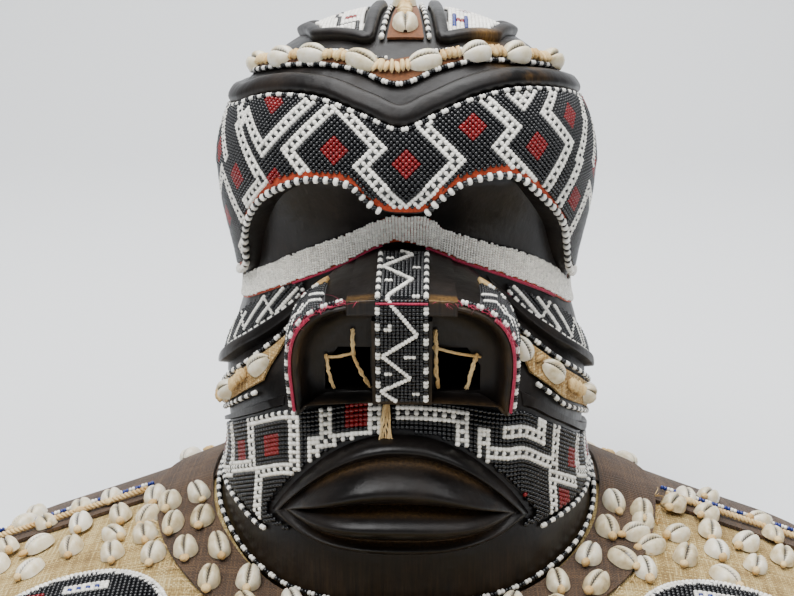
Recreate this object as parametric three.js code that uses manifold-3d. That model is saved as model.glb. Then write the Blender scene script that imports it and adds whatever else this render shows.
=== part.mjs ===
// A beaded helmet mask: a carved wooden head, its bead and cloth covering, and the collar it stands in.
// Millimetres, +Z up, the face looks along -Y. The origin is under the collar's centre, on the table.
import * as THREE from 'three';
import { mergeVertices } from 'three/addons/utils/BufferGeometryUtils.js';
import Module from 'manifold-3d';

const wasm = await Module();
wasm.setup();

// Carved head
const headHeight = 378;
const headWidth = 250;
const headDepth = 278;
const headSetback = 85;
const wall = 9;
const ribWidth = 14;
const ribHeight = 6;
const frameWidth = 8;
const frameHeight = 6;
const lidHeight = 6;
const stripHeight = 4;

// Nose
const noseHalfWidth = 68;
const noseProjection = 73;
const noseLean = 16;
const noseTaper = 10;
const wingRise = 11;
const wingFlare = 8;
const nostrilWidth = 28;
const nostrilHeight = 30;
const nostrilDepth = 13;
const septumWidth = 35;
const boneHalfWidth = 36;
const boneSide = 9;
const noseStripWidth = 30;

// Lips
const lipHalfWidth = 78;
const slitHalfWidth = 54;

// Coverings
const clearance = 0.5;
const beadSkin = 2.8;
const clothSkin = 1.8;
const stringRadius = 1.7;
const ropeRadius = 2.6;
const cordRadius = 1.2;
const tieWidth = 2.6;
const tieThickness = 1.6;
const seamAngle = 98;

// Collar
const collarHalfWidth = 314;
const collarHalfDepth = 283;
const collarCloth = 2;
const collarEdgeHeight = 2.2;
const layerAngle = 84;
const neckBandWidth = 38;
const medallionHalfWidth = 62;
const medallionHalfDepth = 54;

// Cowrie shells
const cowrieLength = 22;
const cowrieWidth = 15;
const cowrieThickness = 9;
const cowriePitch = 26;

// Columns of facets round the head: even steps over the face, wider ones behind the side seams
const faceStep = 12;
const faceEnd = 96;
const backColumns = 9;

// The head's form: height, half width, front depth and back depth, in hundredths of
// the head's height, width and depth
const profile = [
  [0, 49.6, 49.6, 46], [6.6, 50.4, 52.5, 46.8], [14.6, 50.4, 52.9, 46.8], [20.6, 48.8, 52.2, 45.7],
  [26.5, 47.4, 51.4, 44.6], [33.1, 47.8, 50.9, 43.9], [39.9, 47.8, 50, 43.5], [43.5, 46.6, 47.2, 43.3],
  [46.8, 45.2, 41.4, 43.2], [52.4, 43, 35.6, 43.2], [59.5, 43.2, 33.1, 44.2], [67.5, 45.2, 35.3, 46],
  [75.4, 47.4, 41.7, 47.1],
];
const equatorLevel = 75.4;
const crownLevels = 43.65;
const squareness = 2.35;

// How far the forehead stands out over the head: level, sideways and forwards, in millimetres
const browBulge = [
  [50, 0, 0], [54.2, 1.5, 8], [62.2, 4, 19], [69.3, 4.5, 20.5], [75.4, 2.5, 12], [89, 2.5, 8], [97, 1.5, 4],
  [106, 0, 0],
];

// Feature lines on the head: angle from the face's middle in degrees, level in hundredths of its height
const ridgeLine = [
  [-180, 86], [-150, 86], [-115, 86.8], [-88, 87.6], [-66, 89.2], [-54, 91.5], [-41, 92.9], [-26, 92.6],
  [-11, 89.9], [-1, 87.8], [8, 89.9], [22, 92.9], [38, 94.2], [56, 93.1], [82, 89.9], [110, 87.6],
  [150, 86], [180, 86],
];
const browLow = [
  [-99, 90.9], [-78, 92.3], [-52, 95.2], [-35, 96.3], [-19, 95.6], [-2, 92.9], [14, 96], [32, 97.4],
  [50, 96.3], [86, 92.6], [99, 91.2],
];
const browHigh = [
  [-99, 94], [-68, 97.5], [-44, 100], [-22, 100.2], [-11, 99.1], [7, 100.4], [24, 101], [51, 100],
  [73, 96.8], [99, 94.4],
];
const archLine = [
  [-99, 54.8], [-80, 55], [-70, 56.1], [-60, 58.5], [-56, 62.7], [-49, 67.7], [-39, 72.5], [-28, 75.4],
  [-20, 75.9], [-13, 74.9], [-9, 72.5], [-5, 70.9], [0, 70.6], [6, 70.9], [9, 72.8], [14, 75.1],
  [22, 76.5], [30, 76.2], [40, 72], [51, 66.7], [58, 61.6], [64, 57.9], [74, 55.3], [99, 54.8],
];
const bandHigh = [
  [-98, 53.8], [-78, 54.4], [-64, 56.9], [-45, 61.1], [-30, 64.3], [-18, 66.7], [-11, 68.5], [-5, 69.8],
  [0, 69.8], [8, 69.6], [14, 67.5], [27, 65.1], [43, 62.4], [58, 59.1], [74, 54.6], [98, 53.7],
];
const bandLow = [
  [-98, 50.3], [-78, 51.1], [-66, 52.4], [-39, 57.9], [-24, 61.1], [-11, 64.4], [-2, 65.5], [9, 64.4],
  [20, 62.2], [35, 59.5], [52, 55.8], [74, 50.8], [98, 49.2],
];
const jawLine = [
  [-98, 19.8], [-68, 19.6], [-50, 18.8], [-42, 17.7], [-37, 17.2], [0, 16.4], [32, 17.7], [44, 18.3],
  [60, 18.5], [80, 19], [98, 19.6],
];
const neckLine = [
  [-180, 15.9], [-90, 15.9], [-74, 15.3], [-53, 13], [-40, 10.1], [-27, 7.7], [0, 6.6], [27, 7.9],
  [40, 9.8], [53, 11.6], [74, 14.3], [90, 15.9], [180, 15.9],
];
const mouthHigh = [
  [-98, 24.6], [-80, 27.5], [-59, 31.7], [-42, 35.9], [-31.5, 38.6], [-26, 39.3], [-12, 41.4], [0, 42],
  [12, 41.4], [26, 39.3], [31, 38.9], [39.5, 35.9], [62, 29.3], [80, 26.7], [98, 24.6],
];

// The side features, left then right, from the nose outwards
const sides = [
  {
    name: 'left', sign: -1,
    eyeHigh: [[-37, 57.4], [-45, 56.1], [-56, 53.2], [-68, 49.1], [-77, 42.6]],
    eyeLow: [[-37, 56.2], [-40.5, 53.8], [-49, 49.9], [-59, 46.2], [-76.5, 41.1]],
    lidLow: [[-30, 58.2], [-35, 54.2], [-41.5, 50], [-50.5, 46], [-66, 41], [-84, 37.9]],
    cheekHigh: [[-31.5, 56.2], [-37.5, 52], [-43, 48], [-52, 43.4], [-74, 36.9], [-97, 32.4]],
    cheekLow: [[-31, 42.3], [-39, 39.8], [-47, 37.3], [-55.5, 34.8], [-70, 31.3], [-97, 26.8]],
    stripHigh: [[-31.5, 41], [-39.5, 38.7], [-46, 36.8], [-59, 33.1], [-80, 28.5], [-97, 25.8]],
    stripLow: [[-31.5, 39.2], [-36, 38], [-43, 36], [-59, 32], [-80, 27.8], [-97, 25.1]],
  },
  {
    name: 'right', sign: 1,
    eyeHigh: [[38, 57.3], [47, 55], [59, 51.7], [71, 47.2], [83, 41.2]],
    eyeLow: [[38, 56.1], [42.5, 53.2], [51, 49.3], [62, 45], [82.5, 39.7]],
    lidLow: [[31, 58.5], [36, 54.6], [43, 50.3], [52.5, 45.8], [73, 39.5], [90, 36.6]],
    cheekHigh: [[30, 57.4], [36.5, 52.6], [43.5, 48.2], [52, 44], [75, 37.6], [97, 34]],
    cheekLow: [[31, 43.4], [35, 41.9], [41, 39.2], [49, 35.9], [71, 30.8], [97, 27.4]],
    stripHigh: [[31.5, 41.9], [37.5, 39.5], [45, 36.4], [59, 32.2], [80, 28.3], [97, 26.3]],
    stripLow: [[31.5, 39.4], [35, 38.4], [42, 35.8], [62, 29.8], [80, 27.2], [97, 25.1]],
  },
];

const degree = Math.PI / 180;
const levelsPerMillimetre = 100 / headHeight;

const clamp = THREE.MathUtils.clamp;
const lerp = THREE.MathUtils.lerp;
const smoothstep = THREE.MathUtils.smoothstep;

// A smooth curve through a table's rows: its slope at a row is the one between the rows beside it
function curve(table, column = 1) {
  const x = table.map((row) => row[0]);
  const y = table.map((row) => row[column]);
  const last = x.length - 1;
  const slope = x.map((value, i) => {
    const a = Math.max(i - 1, 0);
    const b = Math.min(i + 1, last);
    return (y[b] - y[a]) / (x[b] - x[a]);
  });
  return (value) => {
    const at = clamp(value, x[0], x[last]);
    let i = 0;
    while (i < last - 1 && at > x[i + 1]) i += 1;
    const step = x[i + 1] - x[i];
    const t = (at - x[i]) / step;
    return (1 + 2 * t) * (1 - t) ** 2 * y[i] + t * (1 - t) ** 2 * step * slope[i]
      + t * t * (3 - 2 * t) * y[i + 1] + t * t * (t - 1) * step * slope[i + 1];
  };
}

const halfWidthAt = curve(profile, 1);
const frontAt = curve(profile, 2);
const backAt = curve(profile, 3);
const bulgeSide = curve(browBulge, 1);
const bulgeFront = curve(browBulge, 2);

// A point of the head, with its half width, front, back and crown moved out by so much
function headPoint(angle, level, side = 0, fore = 0, rear = 0, top = 0) {
  const rise = clamp((level - equatorLevel) / crownLevels, 0, 1) * Math.PI / 2;
  const low = Math.min(level, equatorLevel);
  const shrink = Math.cos(rise);
  const halfWidth = (halfWidthAt(low) / 100 * headWidth + side) * shrink;
  const front = frontAt(low) / 100 * headDepth + fore;
  const back = backAt(low) / 100 * headDepth + rear;
  const s = Math.sin(angle * degree);
  const c = Math.cos(angle * degree);
  const depth = (c > 0 ? front : back) * shrink;
  const sum = (Math.abs(s) / Math.max(halfWidth, 1e-6)) ** squareness
    + (Math.abs(c) / Math.max(depth, 1e-6)) ** squareness;
  const radius = shrink < 1e-6 ? 0 : sum ** (-1 / squareness);
  const z = low / 100 * headHeight + ((100 - equatorLevel) / 100 * headHeight + top) * Math.sin(rise);
  return new THREE.Vector3(radius * s, -radius * c, z);
}

const head = (angle, level) => headPoint(angle, level);

// The forehead: the head with its brow pushed out, fading behind the side seams
function forehead(angle, level) {
  const fade = 1 - smoothstep(Math.abs(angle), seamAngle - 14, seamAngle + 1);
  return headPoint(angle, level, bulgeSide(level) * fade, bulgeFront(level) * fade);
}

// The front of the head at a place of the front view
function faceDepth(x, z) {
  const level = clamp(z / headHeight * 100, 0, equatorLevel);
  const across = Math.min(Math.abs(x) / (halfWidthAt(level) / 100 * headWidth), 0.98);
  return frontAt(level) / 100 * headDepth * (1 - across ** squareness) ** (1 / squareness);
}

// The crown seen from above: a plan place as angle and level on the dome
function crownPlace(x, y) {
  const angle = Math.atan2(x, -y) / degree;
  const whole = headPoint(angle, equatorLevel).setZ(0).length();
  const rise = Math.acos(clamp(Math.hypot(x, y) / whole, 0, 1));
  return [angle, equatorLevel + crownLevels * rise / (Math.PI / 2)];
}
const crown = (x, y) => forehead(...crownPlace(x, y));

// A point lifted off a surface along its outward direction
function normalAt(surface, u, v, step = 0.4) {
  const du = surface(u + step, v).sub(surface(u - step, v));
  const dv = surface(u, v + step).sub(surface(u, v - step));
  return du.cross(dv).normalize();
}
const lifted = (surface, u, v, height) => surface(u, v).addScaledVector(normalAt(surface, u, v), height);

// A grid of points: so many rows and columns, each from its row's and column's number
const count = (length, at) => Array.from({ length }, (item, i) => at(i));
const grid = (rows, columns, at) => count(rows, (j) => count(columns, (i) => at(i, j)));

// Paths: t from 0 to 1 gives a place on a surface
const along = (table, from, to, shift = 0) => {
  const level = curve(table);
  return (t) => [lerp(from, to, t), level(lerp(from, to, t)) + shift];
};
function through(points, shift = 0) {
  const first = curve(points.map((point, i) => [i, point[0]]));
  const second = curve(points.map((point, i) => [i, point[1]]));
  return (t) => [first(t * (points.length - 1)), second(t * (points.length - 1)) + shift];
}

// A closed body from points and triangles, turned outwards
function body(points, triangles) {
  const loose = new THREE.BufferGeometry();
  const values = points.flatMap((p) => [p.x, p.y, p.z]);
  loose.setAttribute('position', new THREE.Float32BufferAttribute(values, 3));
  loose.setIndex(triangles.flat());
  const merged = mergeVertices(loose, 1e-4);
  const vertProperties = new Float32Array(merged.attributes.position.array);
  const kept = [];
  for (let i = 0; i < merged.index.count; i += 3) {
    const [a, b, c] = [0, 1, 2].map((k) => merged.index.getX(i + k));
    if (a !== b && b !== c && c !== a) kept.push(a, b, c);
  }
  const corner = (k) => new THREE.Vector3().fromArray(vertProperties, 3 * k);
  let volume = 0;
  for (let i = 0; i < kept.length; i += 3) {
    volume += corner(kept[i]).dot(corner(kept[i + 1]).cross(corner(kept[i + 2])));
  }
  if (volume < 0) {
    for (let i = 0; i < kept.length; i += 3) [kept[i], kept[i + 1]] = [kept[i + 1], kept[i]];
  }
  return new wasm.Manifold(new wasm.Mesh({ numProp: 3, vertProperties, triVerts: new Uint32Array(kept) }));
}

// A body through rings of points, capped at both ends, or closed on itself
function loft(rings, closed = false) {
  const around = rings[0].length;
  const points = rings.flat();
  const triangles = [];
  const last = rings.length - 1;
  for (let j = 0; j < last + (closed ? 1 : 0); j += 1) {
    const a = j * around;
    const b = ((j + 1) % rings.length) * around;
    for (let i = 0; i < around; i += 1) {
      const n = (i + 1) % around;
      triangles.push([a + i, a + n, b + n], [a + i, b + n, b + i]);
    }
  }
  const cap = (ring, start, first) => {
    const middle = points.length;
    points.push(ring.reduce((sum, p) => sum.add(p), new THREE.Vector3()).divideScalar(around));
    for (let i = 0; i < around; i += 1) {
      const n = (i + 1) % around;
      triangles.push(first ? [middle, start + n, start + i] : [middle, start + i, start + n]);
    }
  };
  if (!closed) {
    cap(rings[0], 0, true);
    cap(rings[last], last * around, false);
  }
  return body(points, triangles);
}

// The body between two grids of points of the same size, the under face first
function between(under, over, ring = false) {
  const rows = under.length;
  const columns = under[0].length;
  const points = [...under.flat(), ...over.flat()];
  const half = rows * columns;
  const triangles = [];
  const quad = (a, b, c, d) => triangles.push([a, b, c], [a, c, d]);
  const across = ring ? columns : columns - 1;
  for (let i = 0; i < across; i += 1) {
    const n = (i + 1) % columns;
    for (let j = 0; j < rows - 1; j += 1) {
      const low = j * columns;
      const high = low + columns;
      quad(half + low + i, half + low + n, half + high + n, half + high + i);
      quad(low + i, high + i, high + n, low + n);
    }
    const top = (rows - 1) * columns;
    quad(i, n, half + n, half + i);
    quad(top + n, top + i, half + top + i, half + top + n);
  }
  if (!ring) {
    for (let j = 0; j < rows - 1; j += 1) {
      const [a, d] = [j * columns, (j + 1) * columns];
      quad(d, a, half + a, half + d);
      const [b, c] = [a + columns - 1, d + columns - 1];
      quad(b, c, half + c, half + b);
    }
  }
  return body(points, triangles);
}

const onTable = (point) => point.setZ(Math.max(point.z, 0));

// A sheet on a surface between two edge paths, from one height above it to another
function sheet(surface, low, high, columns, rows, from, to, ring = false) {
  const face = (height) => grid(rows + 1, ring ? columns : columns + 1, (i, j) => {
    const a = low(i / columns);
    const b = high(i / columns);
    const v = j / rows;
    return onTable(lifted(surface, lerp(a[0], b[0], v), lerp(a[1], b[1], v), height));
  });
  return between(face(from), face(to), ring);
}

// A rail of one section along a path on a surface; the section is places across it and above it
function rail(surface, path, section, steps, closed = false) {
  const place = (t, height) => lifted(surface, ...path(t), height);
  const rings = count(closed ? steps : steps + 1, (i) => {
    const t = i / steps;
    const before = closed ? (t + 1 - 0.002) % 1 : Math.max(t - 0.002, 0);
    const after = closed ? (t + 0.002) % 1 : Math.min(t + 0.002, 1);
    const forward = surface(...path(after)).sub(surface(...path(before))).normalize();
    const up = normalAt(surface, ...path(t));
    const side = new THREE.Vector3().crossVectors(up, forward).normalize();
    return section.map(([across, height]) => onTable(place(t, height).addScaledVector(side, across)));
  });
  return loft(rings, closed);
}

const roundSection = (radius, corners, height) => count(corners, (i) => {
  const turn = (i + 0.5) / corners * 2 * Math.PI;
  return [radius * Math.sin(turn), height + radius * Math.cos(turn)];
});
const ridgeSection = (width, height, foot = 3) => [
  [-width / 2, -foot], [width / 2, -foot], [width / 3, height], [-width / 3, height],
];
const string = (surface, path, steps, closed = false) => (
  rail(surface, path, roundSection(stringRadius, 3, stringRadius + clearance), steps, closed)
);

// Cowries on one cord that lies on a surface, through a list of places: the cord swells to a low
// flat-bottomed shell at each place, with its slit up
const evenly = (path, places) => count(places, (i) => path((i + 0.5) / places));
function cowrieString(surface, places, reach = cowrieLength, width = cowrieWidth) {
  const low = clearance + 0.4;
  const shellSection = [[-width / 2, low], [0, clearance + cowrieThickness], [width / 2, low]];
  const cordSection = [[-cordRadius, low], [0, low + 2 * cordRadius], [cordRadius, low]];
  const centres = places.map((place) => surface(...place));
  const rings = places.flatMap((place, i) => {
    const before = centres[Math.max(i - 1, 0)];
    const after = centres[Math.min(i + 1, centres.length - 1)];
    const up = normalAt(surface, ...place);
    const forward = after.clone().sub(before);
    forward.addScaledVector(up, -forward.dot(up)).normalize();
    const side = new THREE.Vector3().crossVectors(up, forward);
    const ring = (section, shift) => section.map(([across, height]) => (
      new THREE.Vector3().addScaledVector(forward, shift).addScaledVector(side, across)
        .addScaledVector(up, height).add(centres[i])
    ));
    return [ring(cordSection, -reach / 2), ring(shellSection, -reach / 6), ring(cordSection, reach / 2)];
  });
  return loft(rings);
}

// The nose: an arch from the cheeks to a leaning front face. t runs from the left foot over the top
// to the right foot
const noseTop = 0.598 * headHeight;
const noseFoot = 0.405 * headHeight;
const noseSpring = 0.476 * headHeight;
const noseTipDepth = frontAt(noseTop / headHeight * 100) / 100 * headDepth + noseProjection;
const frontFace = (z) => noseTipDepth - noseLean * (noseTop - z) / (noseTop - noseFoot);
function noseArch(t, halfWidth, top, spring, foot) {
  const legs = 0.16;
  if (t < legs || t > 1 - legs) {
    const share = (t < legs ? t : 1 - t) / legs;
    return [(t < 0.5 ? -1 : 1) * halfWidth * lerp(0.97, 1, share), lerp(foot, spring, share)];
  }
  const turn = (t - legs) / (1 - 2 * legs) * Math.PI;
  const bend = (value) => Math.sign(value) * Math.abs(value) ** (2 / 3);
  return [-halfWidth * bend(Math.cos(turn)), spring + (top - spring) * bend(Math.sin(turn))];
}
const bridgeRise = 0.045 * headHeight;
const noseRoot = frontAt(noseTop / headHeight * 100) / 100 * headDepth - wall;
function noseSide(t, back) {
  const arch = noseArch(clamp(t, 0, 1), noseHalfWidth, noseTop, noseSpring, noseFoot);
  const rootHalf = noseHalfWidth - noseTaper;
  const root = noseArch(clamp(t, 0, 1), rootHalf, noseTop + wingRise, noseSpring, noseFoot);
  const front = new THREE.Vector3(arch[0], -frontFace(arch[1]), arch[1]);
  const point = front.lerp(new THREE.Vector3(root[0], -noseRoot, root[1]), back);
  return point.setX(point.x * (1 + wingFlare / noseHalfWidth * Math.sin(back * Math.PI)));
}

const noseSkin = (t, back) => noseSide(t / 100, back / 100);
const boneTop = noseTop + 2.5;
const boneFoot = boneTop - 14;
const sag = 0.022 * headHeight;
const septumFoot = noseFoot + sag * 0.9;

function noseBlock() {
  const steps = 16;
  const underside = (share) => noseFoot + sag * (1 - (share * 1.2) ** 2);
  const outline = (scale, push) => {
    const lowered = (z) => noseSpring + (z - noseSpring) * scale;
    const arch = count(steps + 1, (i) => {
      const p = noseSide(i / steps, 0);
      const z = lowered(p.z);
      return new THREE.Vector3(p.x * scale, push - frontFace(z), z);
    });
    const feet = [0.5, 0, -0.5].map((share) => {
      const z = lowered(underside(share));
      return new THREE.Vector3(share * 1.3 * noseHalfWidth * scale, -frontFace(z) + push, z);
    });
    return [...arch, ...feet];
  };
  const around = (back) => {
    const arch = count(steps + 1, (i) => noseSide(i / steps, back));
    const feet = [0.5, 0, -0.5].map((share) => {
      const z = underside(share);
      return new THREE.Vector3(share * 1.3 * noseHalfWidth, lerp(-frontFace(z), -noseRoot, back), z);
    });
    return [...arch, ...feet];
  };
  const rings = [
    around(1), around(0.75), around(0.5), around(0.25), outline(1, 0), outline(0.94, 1.5),
    outline(0.72, nostrilDepth),
  ];
  const shell = loft(rings);
  const tip = -noseTipDepth;
  const bridge = noseTop + bridgeRise;
  const boneRing = (y, half, edge, top, drop) => [
    [-edge, top - drop], [-half, top], [half, top], [edge, top - drop],
    [edge, top - drop - boneSide], [-edge, top - drop - boneSide],
  ].map(([x, z]) => new THREE.Vector3(x, y, z));
  const halfStrip = septumWidth / 2;
  const bone = loft([
    boneRing(-noseRoot, halfStrip - 2, boneHalfWidth * 0.62, bridge, 7),
    boneRing(tip - 1, halfStrip - 1, boneHalfWidth, boneTop, 5),
  ]);
  const septumRing = (z, y) => [
    [-halfStrip, y], [halfStrip, y], [halfStrip, -noseRoot], [-halfStrip, -noseRoot],
  ].map(([x, depth]) => new THREE.Vector3(x, depth, z));
  const septumFront = -frontFace(septumFoot) - 1;
  const septum = loft([septumRing(septumFoot, septumFront), septumRing(boneFoot + 1, tip - 1)]);
  return shell.add(bone).add(septum);
}

function nostrils() {
  const inner = septumWidth / 2 + 1;
  const floor = noseFoot + 0.03 * headHeight;
  const outer = inner + nostrilWidth;
  const top = floor + nostrilHeight;
  const corners = [
    [inner, floor], [outer, floor + 1], [outer, lerp(floor, top, 0.6)], [lerp(inner, outer, 0.7), top],
    [inner, top],
  ];
  const holes = [-1, 1].map((sign) => {
    const outline = (y) => corners.map(([x, z]) => new THREE.Vector3(sign * x, y, z));
    return loft([outline(-2 * noseTipDepth), outline(-noseRoot / 2)]);
  });
  return holes[0].add(holes[1]);
}

// The lips: rings that close in from the outline to the slit. Share of the way in, above and below,
// then how far the ring stands out of the face there
const lipRings = [
  [0, 0, -12, -12], [0, 0, -2, -2], [0.07, 0.12, 11, 13], [0.19, 0.26, 10, 22], [0.45, 0.46, 23, 19],
  [0.72, 0.76, 31, 30], [0.97, 0.97, 17, 17],
];
const lipTop = 0.366 * headHeight;
const lipCorner = 0.212 * headHeight;
const lipBottom = 0.172 * headHeight;
const slitHeight = 0.267 * headHeight;
const slitEnds = 0.247 * headHeight;
function lipOutline(turn) {
  const x = Math.cos(turn);
  const height = Math.sin(turn) > 0 ? lipTop - lipCorner : lipBottom - lipCorner;
  const power = Math.sin(turn) > 0 ? 2.2 : 2.7;
  return [x, lipCorner + height * (1 - Math.abs(x) ** power)];
}
function lips() {
  const steps = 24;
  return loft(lipRings.map(([above, below, proudAbove, proudBelow], k) => (
    count(steps, (i) => {
      const turn = i / steps * 2 * Math.PI;
      const [share, rim] = lipOutline(turn);
      const upper = (1 + Math.sin(turn)) / 2;
      const inward = Math.sin(turn) > 0 ? above : below;
      const proud = k < 2 ? proudAbove : lerp(proudBelow, proudAbove, smoothstep(upper, 0.3, 0.7));
      const x = share * lerp(lipHalfWidth, slitHalfWidth, inward);
      const slit = lerp(slitHeight, slitEnds, share * share);
      const z = lerp(rim, slit, inward);
      const fade = k < 2 ? 1 : lerp(1, 0.35, Math.abs(share) ** 5);
      return new THREE.Vector3(x, -faceDepth(x, z) - proud * fade, z);
    })
  )));
}

// The room that the lips take out of the bead skin round them
function lipRoom() {
  const steps = 24;
  const spare = 1 + 2 * clearance / lipHalfWidth;
  const middle = (lipTop + lipBottom) / 2;
  const ring = (y) => count(steps, (i) => {
    const [share, rim] = lipOutline(i / steps * 2 * Math.PI);
    return new THREE.Vector3(share * lipHalfWidth * spare, y, middle + (rim - middle) * spare + 0.3);
  });
  return loft([ring(-2 * headDepth), ring(-headDepth / 8)]);
}

// The wooden helmet, carved from one block. Each column of its outside runs through the edges of
// the coverings, so that a covering's facets lie along the wood's own
const faceColumns = count(2 * faceEnd / faceStep + 1, (i) => i * faceStep - faceEnd);
const backAngle = (i) => faceEnd + (360 - 2 * faceEnd) * i / backColumns;
const headColumns = [...faceColumns, ...count(backColumns - 1, (i) => backAngle(i + 1))];
const wrapped = (angle) => ((angle + 540) % 360) - 180;
const seam = 3 * levelsPerMillimetre;
const stringRoom = (stringRadius * 2 + clearance) * levelsPerMillimetre;
const ribHalf = (ribWidth / 2 + 2 * clearance) * levelsPerMillimetre;
const level = Object.fromEntries(Object.entries({
  arch: archLine, ridge: ridgeLine, bandLow, bandHigh, jaw: jawLine, mouth: mouthHigh, browLow, browHigh,
  neck: neckLine,
}).map(([name, table]) => [name, curve(table)]));
const foreheadLow = (angle) => level.arch(angle) + stringRoom + seam * 1.5;
const foreheadHigh = (angle) => level.ridge(angle) - ribHalf;
const mouthLow = (angle) => level.jaw(angle) + stringRoom + seam / 2;
const foreheadRows = 5;
const mouthRows = 4;
const evenSteps = (from, to, steps) => count(steps + 1, (i) => lerp(from, to, i / steps));

function woodColumn(angle) {
  const cheekTop = 46.8;
  const mouthTop = level.mouth(angle);
  const below = [
    0, 6.6, 12, ...evenSteps(mouthLow(angle), mouthTop, mouthRows),
    lerp(mouthTop, cheekTop, 0.34), lerp(mouthTop, cheekTop, 0.67),
    cheekTop, lerp(cheekTop, level.bandLow(angle), 0.5), level.bandLow(angle),
    (level.bandLow(angle) + level.bandHigh(angle)) / 2, level.bandHigh(angle), level.arch(angle),
  ];
  const above = [
    level.arch(angle), ...evenSteps(foreheadLow(angle), foreheadHigh(angle), foreheadRows),
    level.ridge(angle),
    level.browHigh(angle), 104, 110, 116,
  ];
  return [...below.map((at) => head(angle, at)), ...above.map((at) => forehead(angle, at))];
}
function woodOutside() {
  const columns = headColumns.map((angle) => woodColumn(wrapped(angle)));
  return loft(columns[0].map((item, j) => columns.map((column) => column[j])));
}
function headCavity() {
  const sidesOfCavity = 16;
  const levels = [-3, 14, 28, 40, 49, 58, 75.4, 92, 108];
  return loft(levels.map((at) => count(sidesOfCavity, (i) => {
    const point = headPoint(i / sidesOfCavity * 360 - 180, Math.max(at, 0), -wall, -wall, -wall, -wall);
    return at < 0 ? point.setZ(at) : point;
  })));
}
const crownCorners = (sign) => [
  [sign * 0.09 * headWidth, -0.217 * headDepth], [sign * 0.218 * headWidth, -0.14 * headDepth],
  [sign * 0.27 * headWidth, 0.05 * headDepth], [sign * 0.22 * headWidth, 0.24 * headDepth],
  [sign * 0.066 * headWidth, 0.27 * headDepth], [sign * 0.07 * headWidth, 0.02 * headDepth],
];
function crownFrame(sign) {
  const corners = crownCorners(sign);
  const path = (t) => {
    const at = (t % 1) * corners.length;
    const i = Math.floor(at) % corners.length;
    const next = (i + 1) % corners.length;
    return [0, 1].map((k) => lerp(corners[i][k], corners[next][k], at - Math.floor(at)));
  };
  return rail(crown, path, ridgeSection(frameWidth, frameHeight, 4), corners.length * 2, true);
}

// The lower lid's upper edge follows the eye, a seam's width below it
function lidTop(side) {
  const gap = 1.6 * levelsPerMillimetre;
  const start = side.lidLow[0];
  const tail = side.lidLow[side.lidLow.length - 1];
  const underEye = side.eyeLow.slice(1).map(([angle, at]) => [angle, at - gap]);
  return [[start[0], start[1] + gap], ...underEye, [tail[0], tail[1] + gap]];
}
function woodenHelmet() {
  let wood = woodOutside();
  wood = wood.add(rail(forehead, along(ridgeLine, -180, 180), ridgeSection(ribWidth, ribHeight), 32, true));
  sides.forEach((side) => {
    wood = wood.add(crownFrame(side.sign));
    wood = wood.add(sheet(head, through(side.lidLow), through(lidTop(side)), 8, 1, -3, lidHeight));
    wood = wood.add(sheet(head, through(side.stripLow), through(side.stripHigh), 6, 1, -3, stripHeight));
  });
  wood = wood.add(noseBlock()).add(lips());
  return wood.subtract(headCavity()).subtract(nostrils()).simplify(0.4);
}

// A covering between two level curves, with the wood's own columns
function wrap(surface, low, high, rows, under, over) {
  const face = (height) => grid(rows + 1, faceColumns.length, (i, j) => {
    const angle = faceColumns[i];
    return lifted(surface, angle, lerp(low(angle), high(angle), j / rows), height);
  });
  return between(face(under), face(over));
}

// Collar: angle round the head, and hundredths of the way from its outer edge in to the neck
const collarRoom = clearance + collarCloth * 0.9;
function collar(angle, inward) {
  const neck = headPoint(angle, level.neck(wrapped(angle)), collarRoom, collarRoom, collarRoom);
  const s = Math.sin(angle * degree);
  const c = Math.cos(angle * degree);
  const a = (s / collarHalfWidth) ** 2 + (c / collarHalfDepth) ** 2;
  const b = -c * headSetback / collarHalfDepth ** 2;
  const edge = (-b + Math.sqrt(b * b - a * ((headSetback / collarHalfDepth) ** 2 - 1))) / a;
  const reach = lerp(edge, Math.hypot(neck.x, neck.y), inward / 100);
  const z = collarEdgeHeight + (neck.z - collarEdgeHeight) * inward / 100;
  return new THREE.Vector3(reach * s, -reach * c, z);
}
// The back layer overlaps the front one: how far its top lies above the collar's surface
function layerRise(angle) {
  const turn = Math.abs(wrapped(angle));
  const up = smoothstep(turn, layerAngle - faceStep, layerAngle - 1);
  const down = 1 - smoothstep(turn, layerAngle + faceStep + 1, layerAngle + 3 * faceStep);
  return (collarCloth + clearance + 0.3) * up * down;
}
const clothTop = (angle, inward) => lifted(collar, angle, inward, layerRise(angle));
const collarLength = (angle) => collar(angle, 0).setZ(0).length() - collar(angle, 100).setZ(0).length();
const fromNeck = (angle, distance) => [angle, 100 * (1 - distance / collarLength(angle))];
// A plan place on the collar
function onCollar(x, y) {
  const angle = Math.atan2(x, -y) / degree;
  const neck = collar(angle, 100).setZ(0).length();
  return clothTop(...fromNeck(angle, Math.hypot(x, y) - neck));
}
const straight = (from, to) => (t) => [lerp(from[0], to[0], t), lerp(from[1], to[1], t)];
const ring = (distance, from, to) => (t) => fromNeck(lerp(from, to, t), distance);

// An oval pad on the collar: a square grid bent into a disc
function medallion(x, y) {
  const cells = 5;
  const face = (height) => grid(cells + 1, cells + 1, (i, j) => {
    const [u, v] = [i, j].map((k) => 2 * k / cells - 1);
    const across = x + medallionHalfWidth * u * Math.sqrt(1 - v * v / 2);
    const back = y + medallionHalfDepth * v * Math.sqrt(1 - u * u / 2);
    return lifted(onCollar, across, back, height);
  });
  return between(face(2 * clearance), face(2 * clearance + beadSkin));
}

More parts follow.
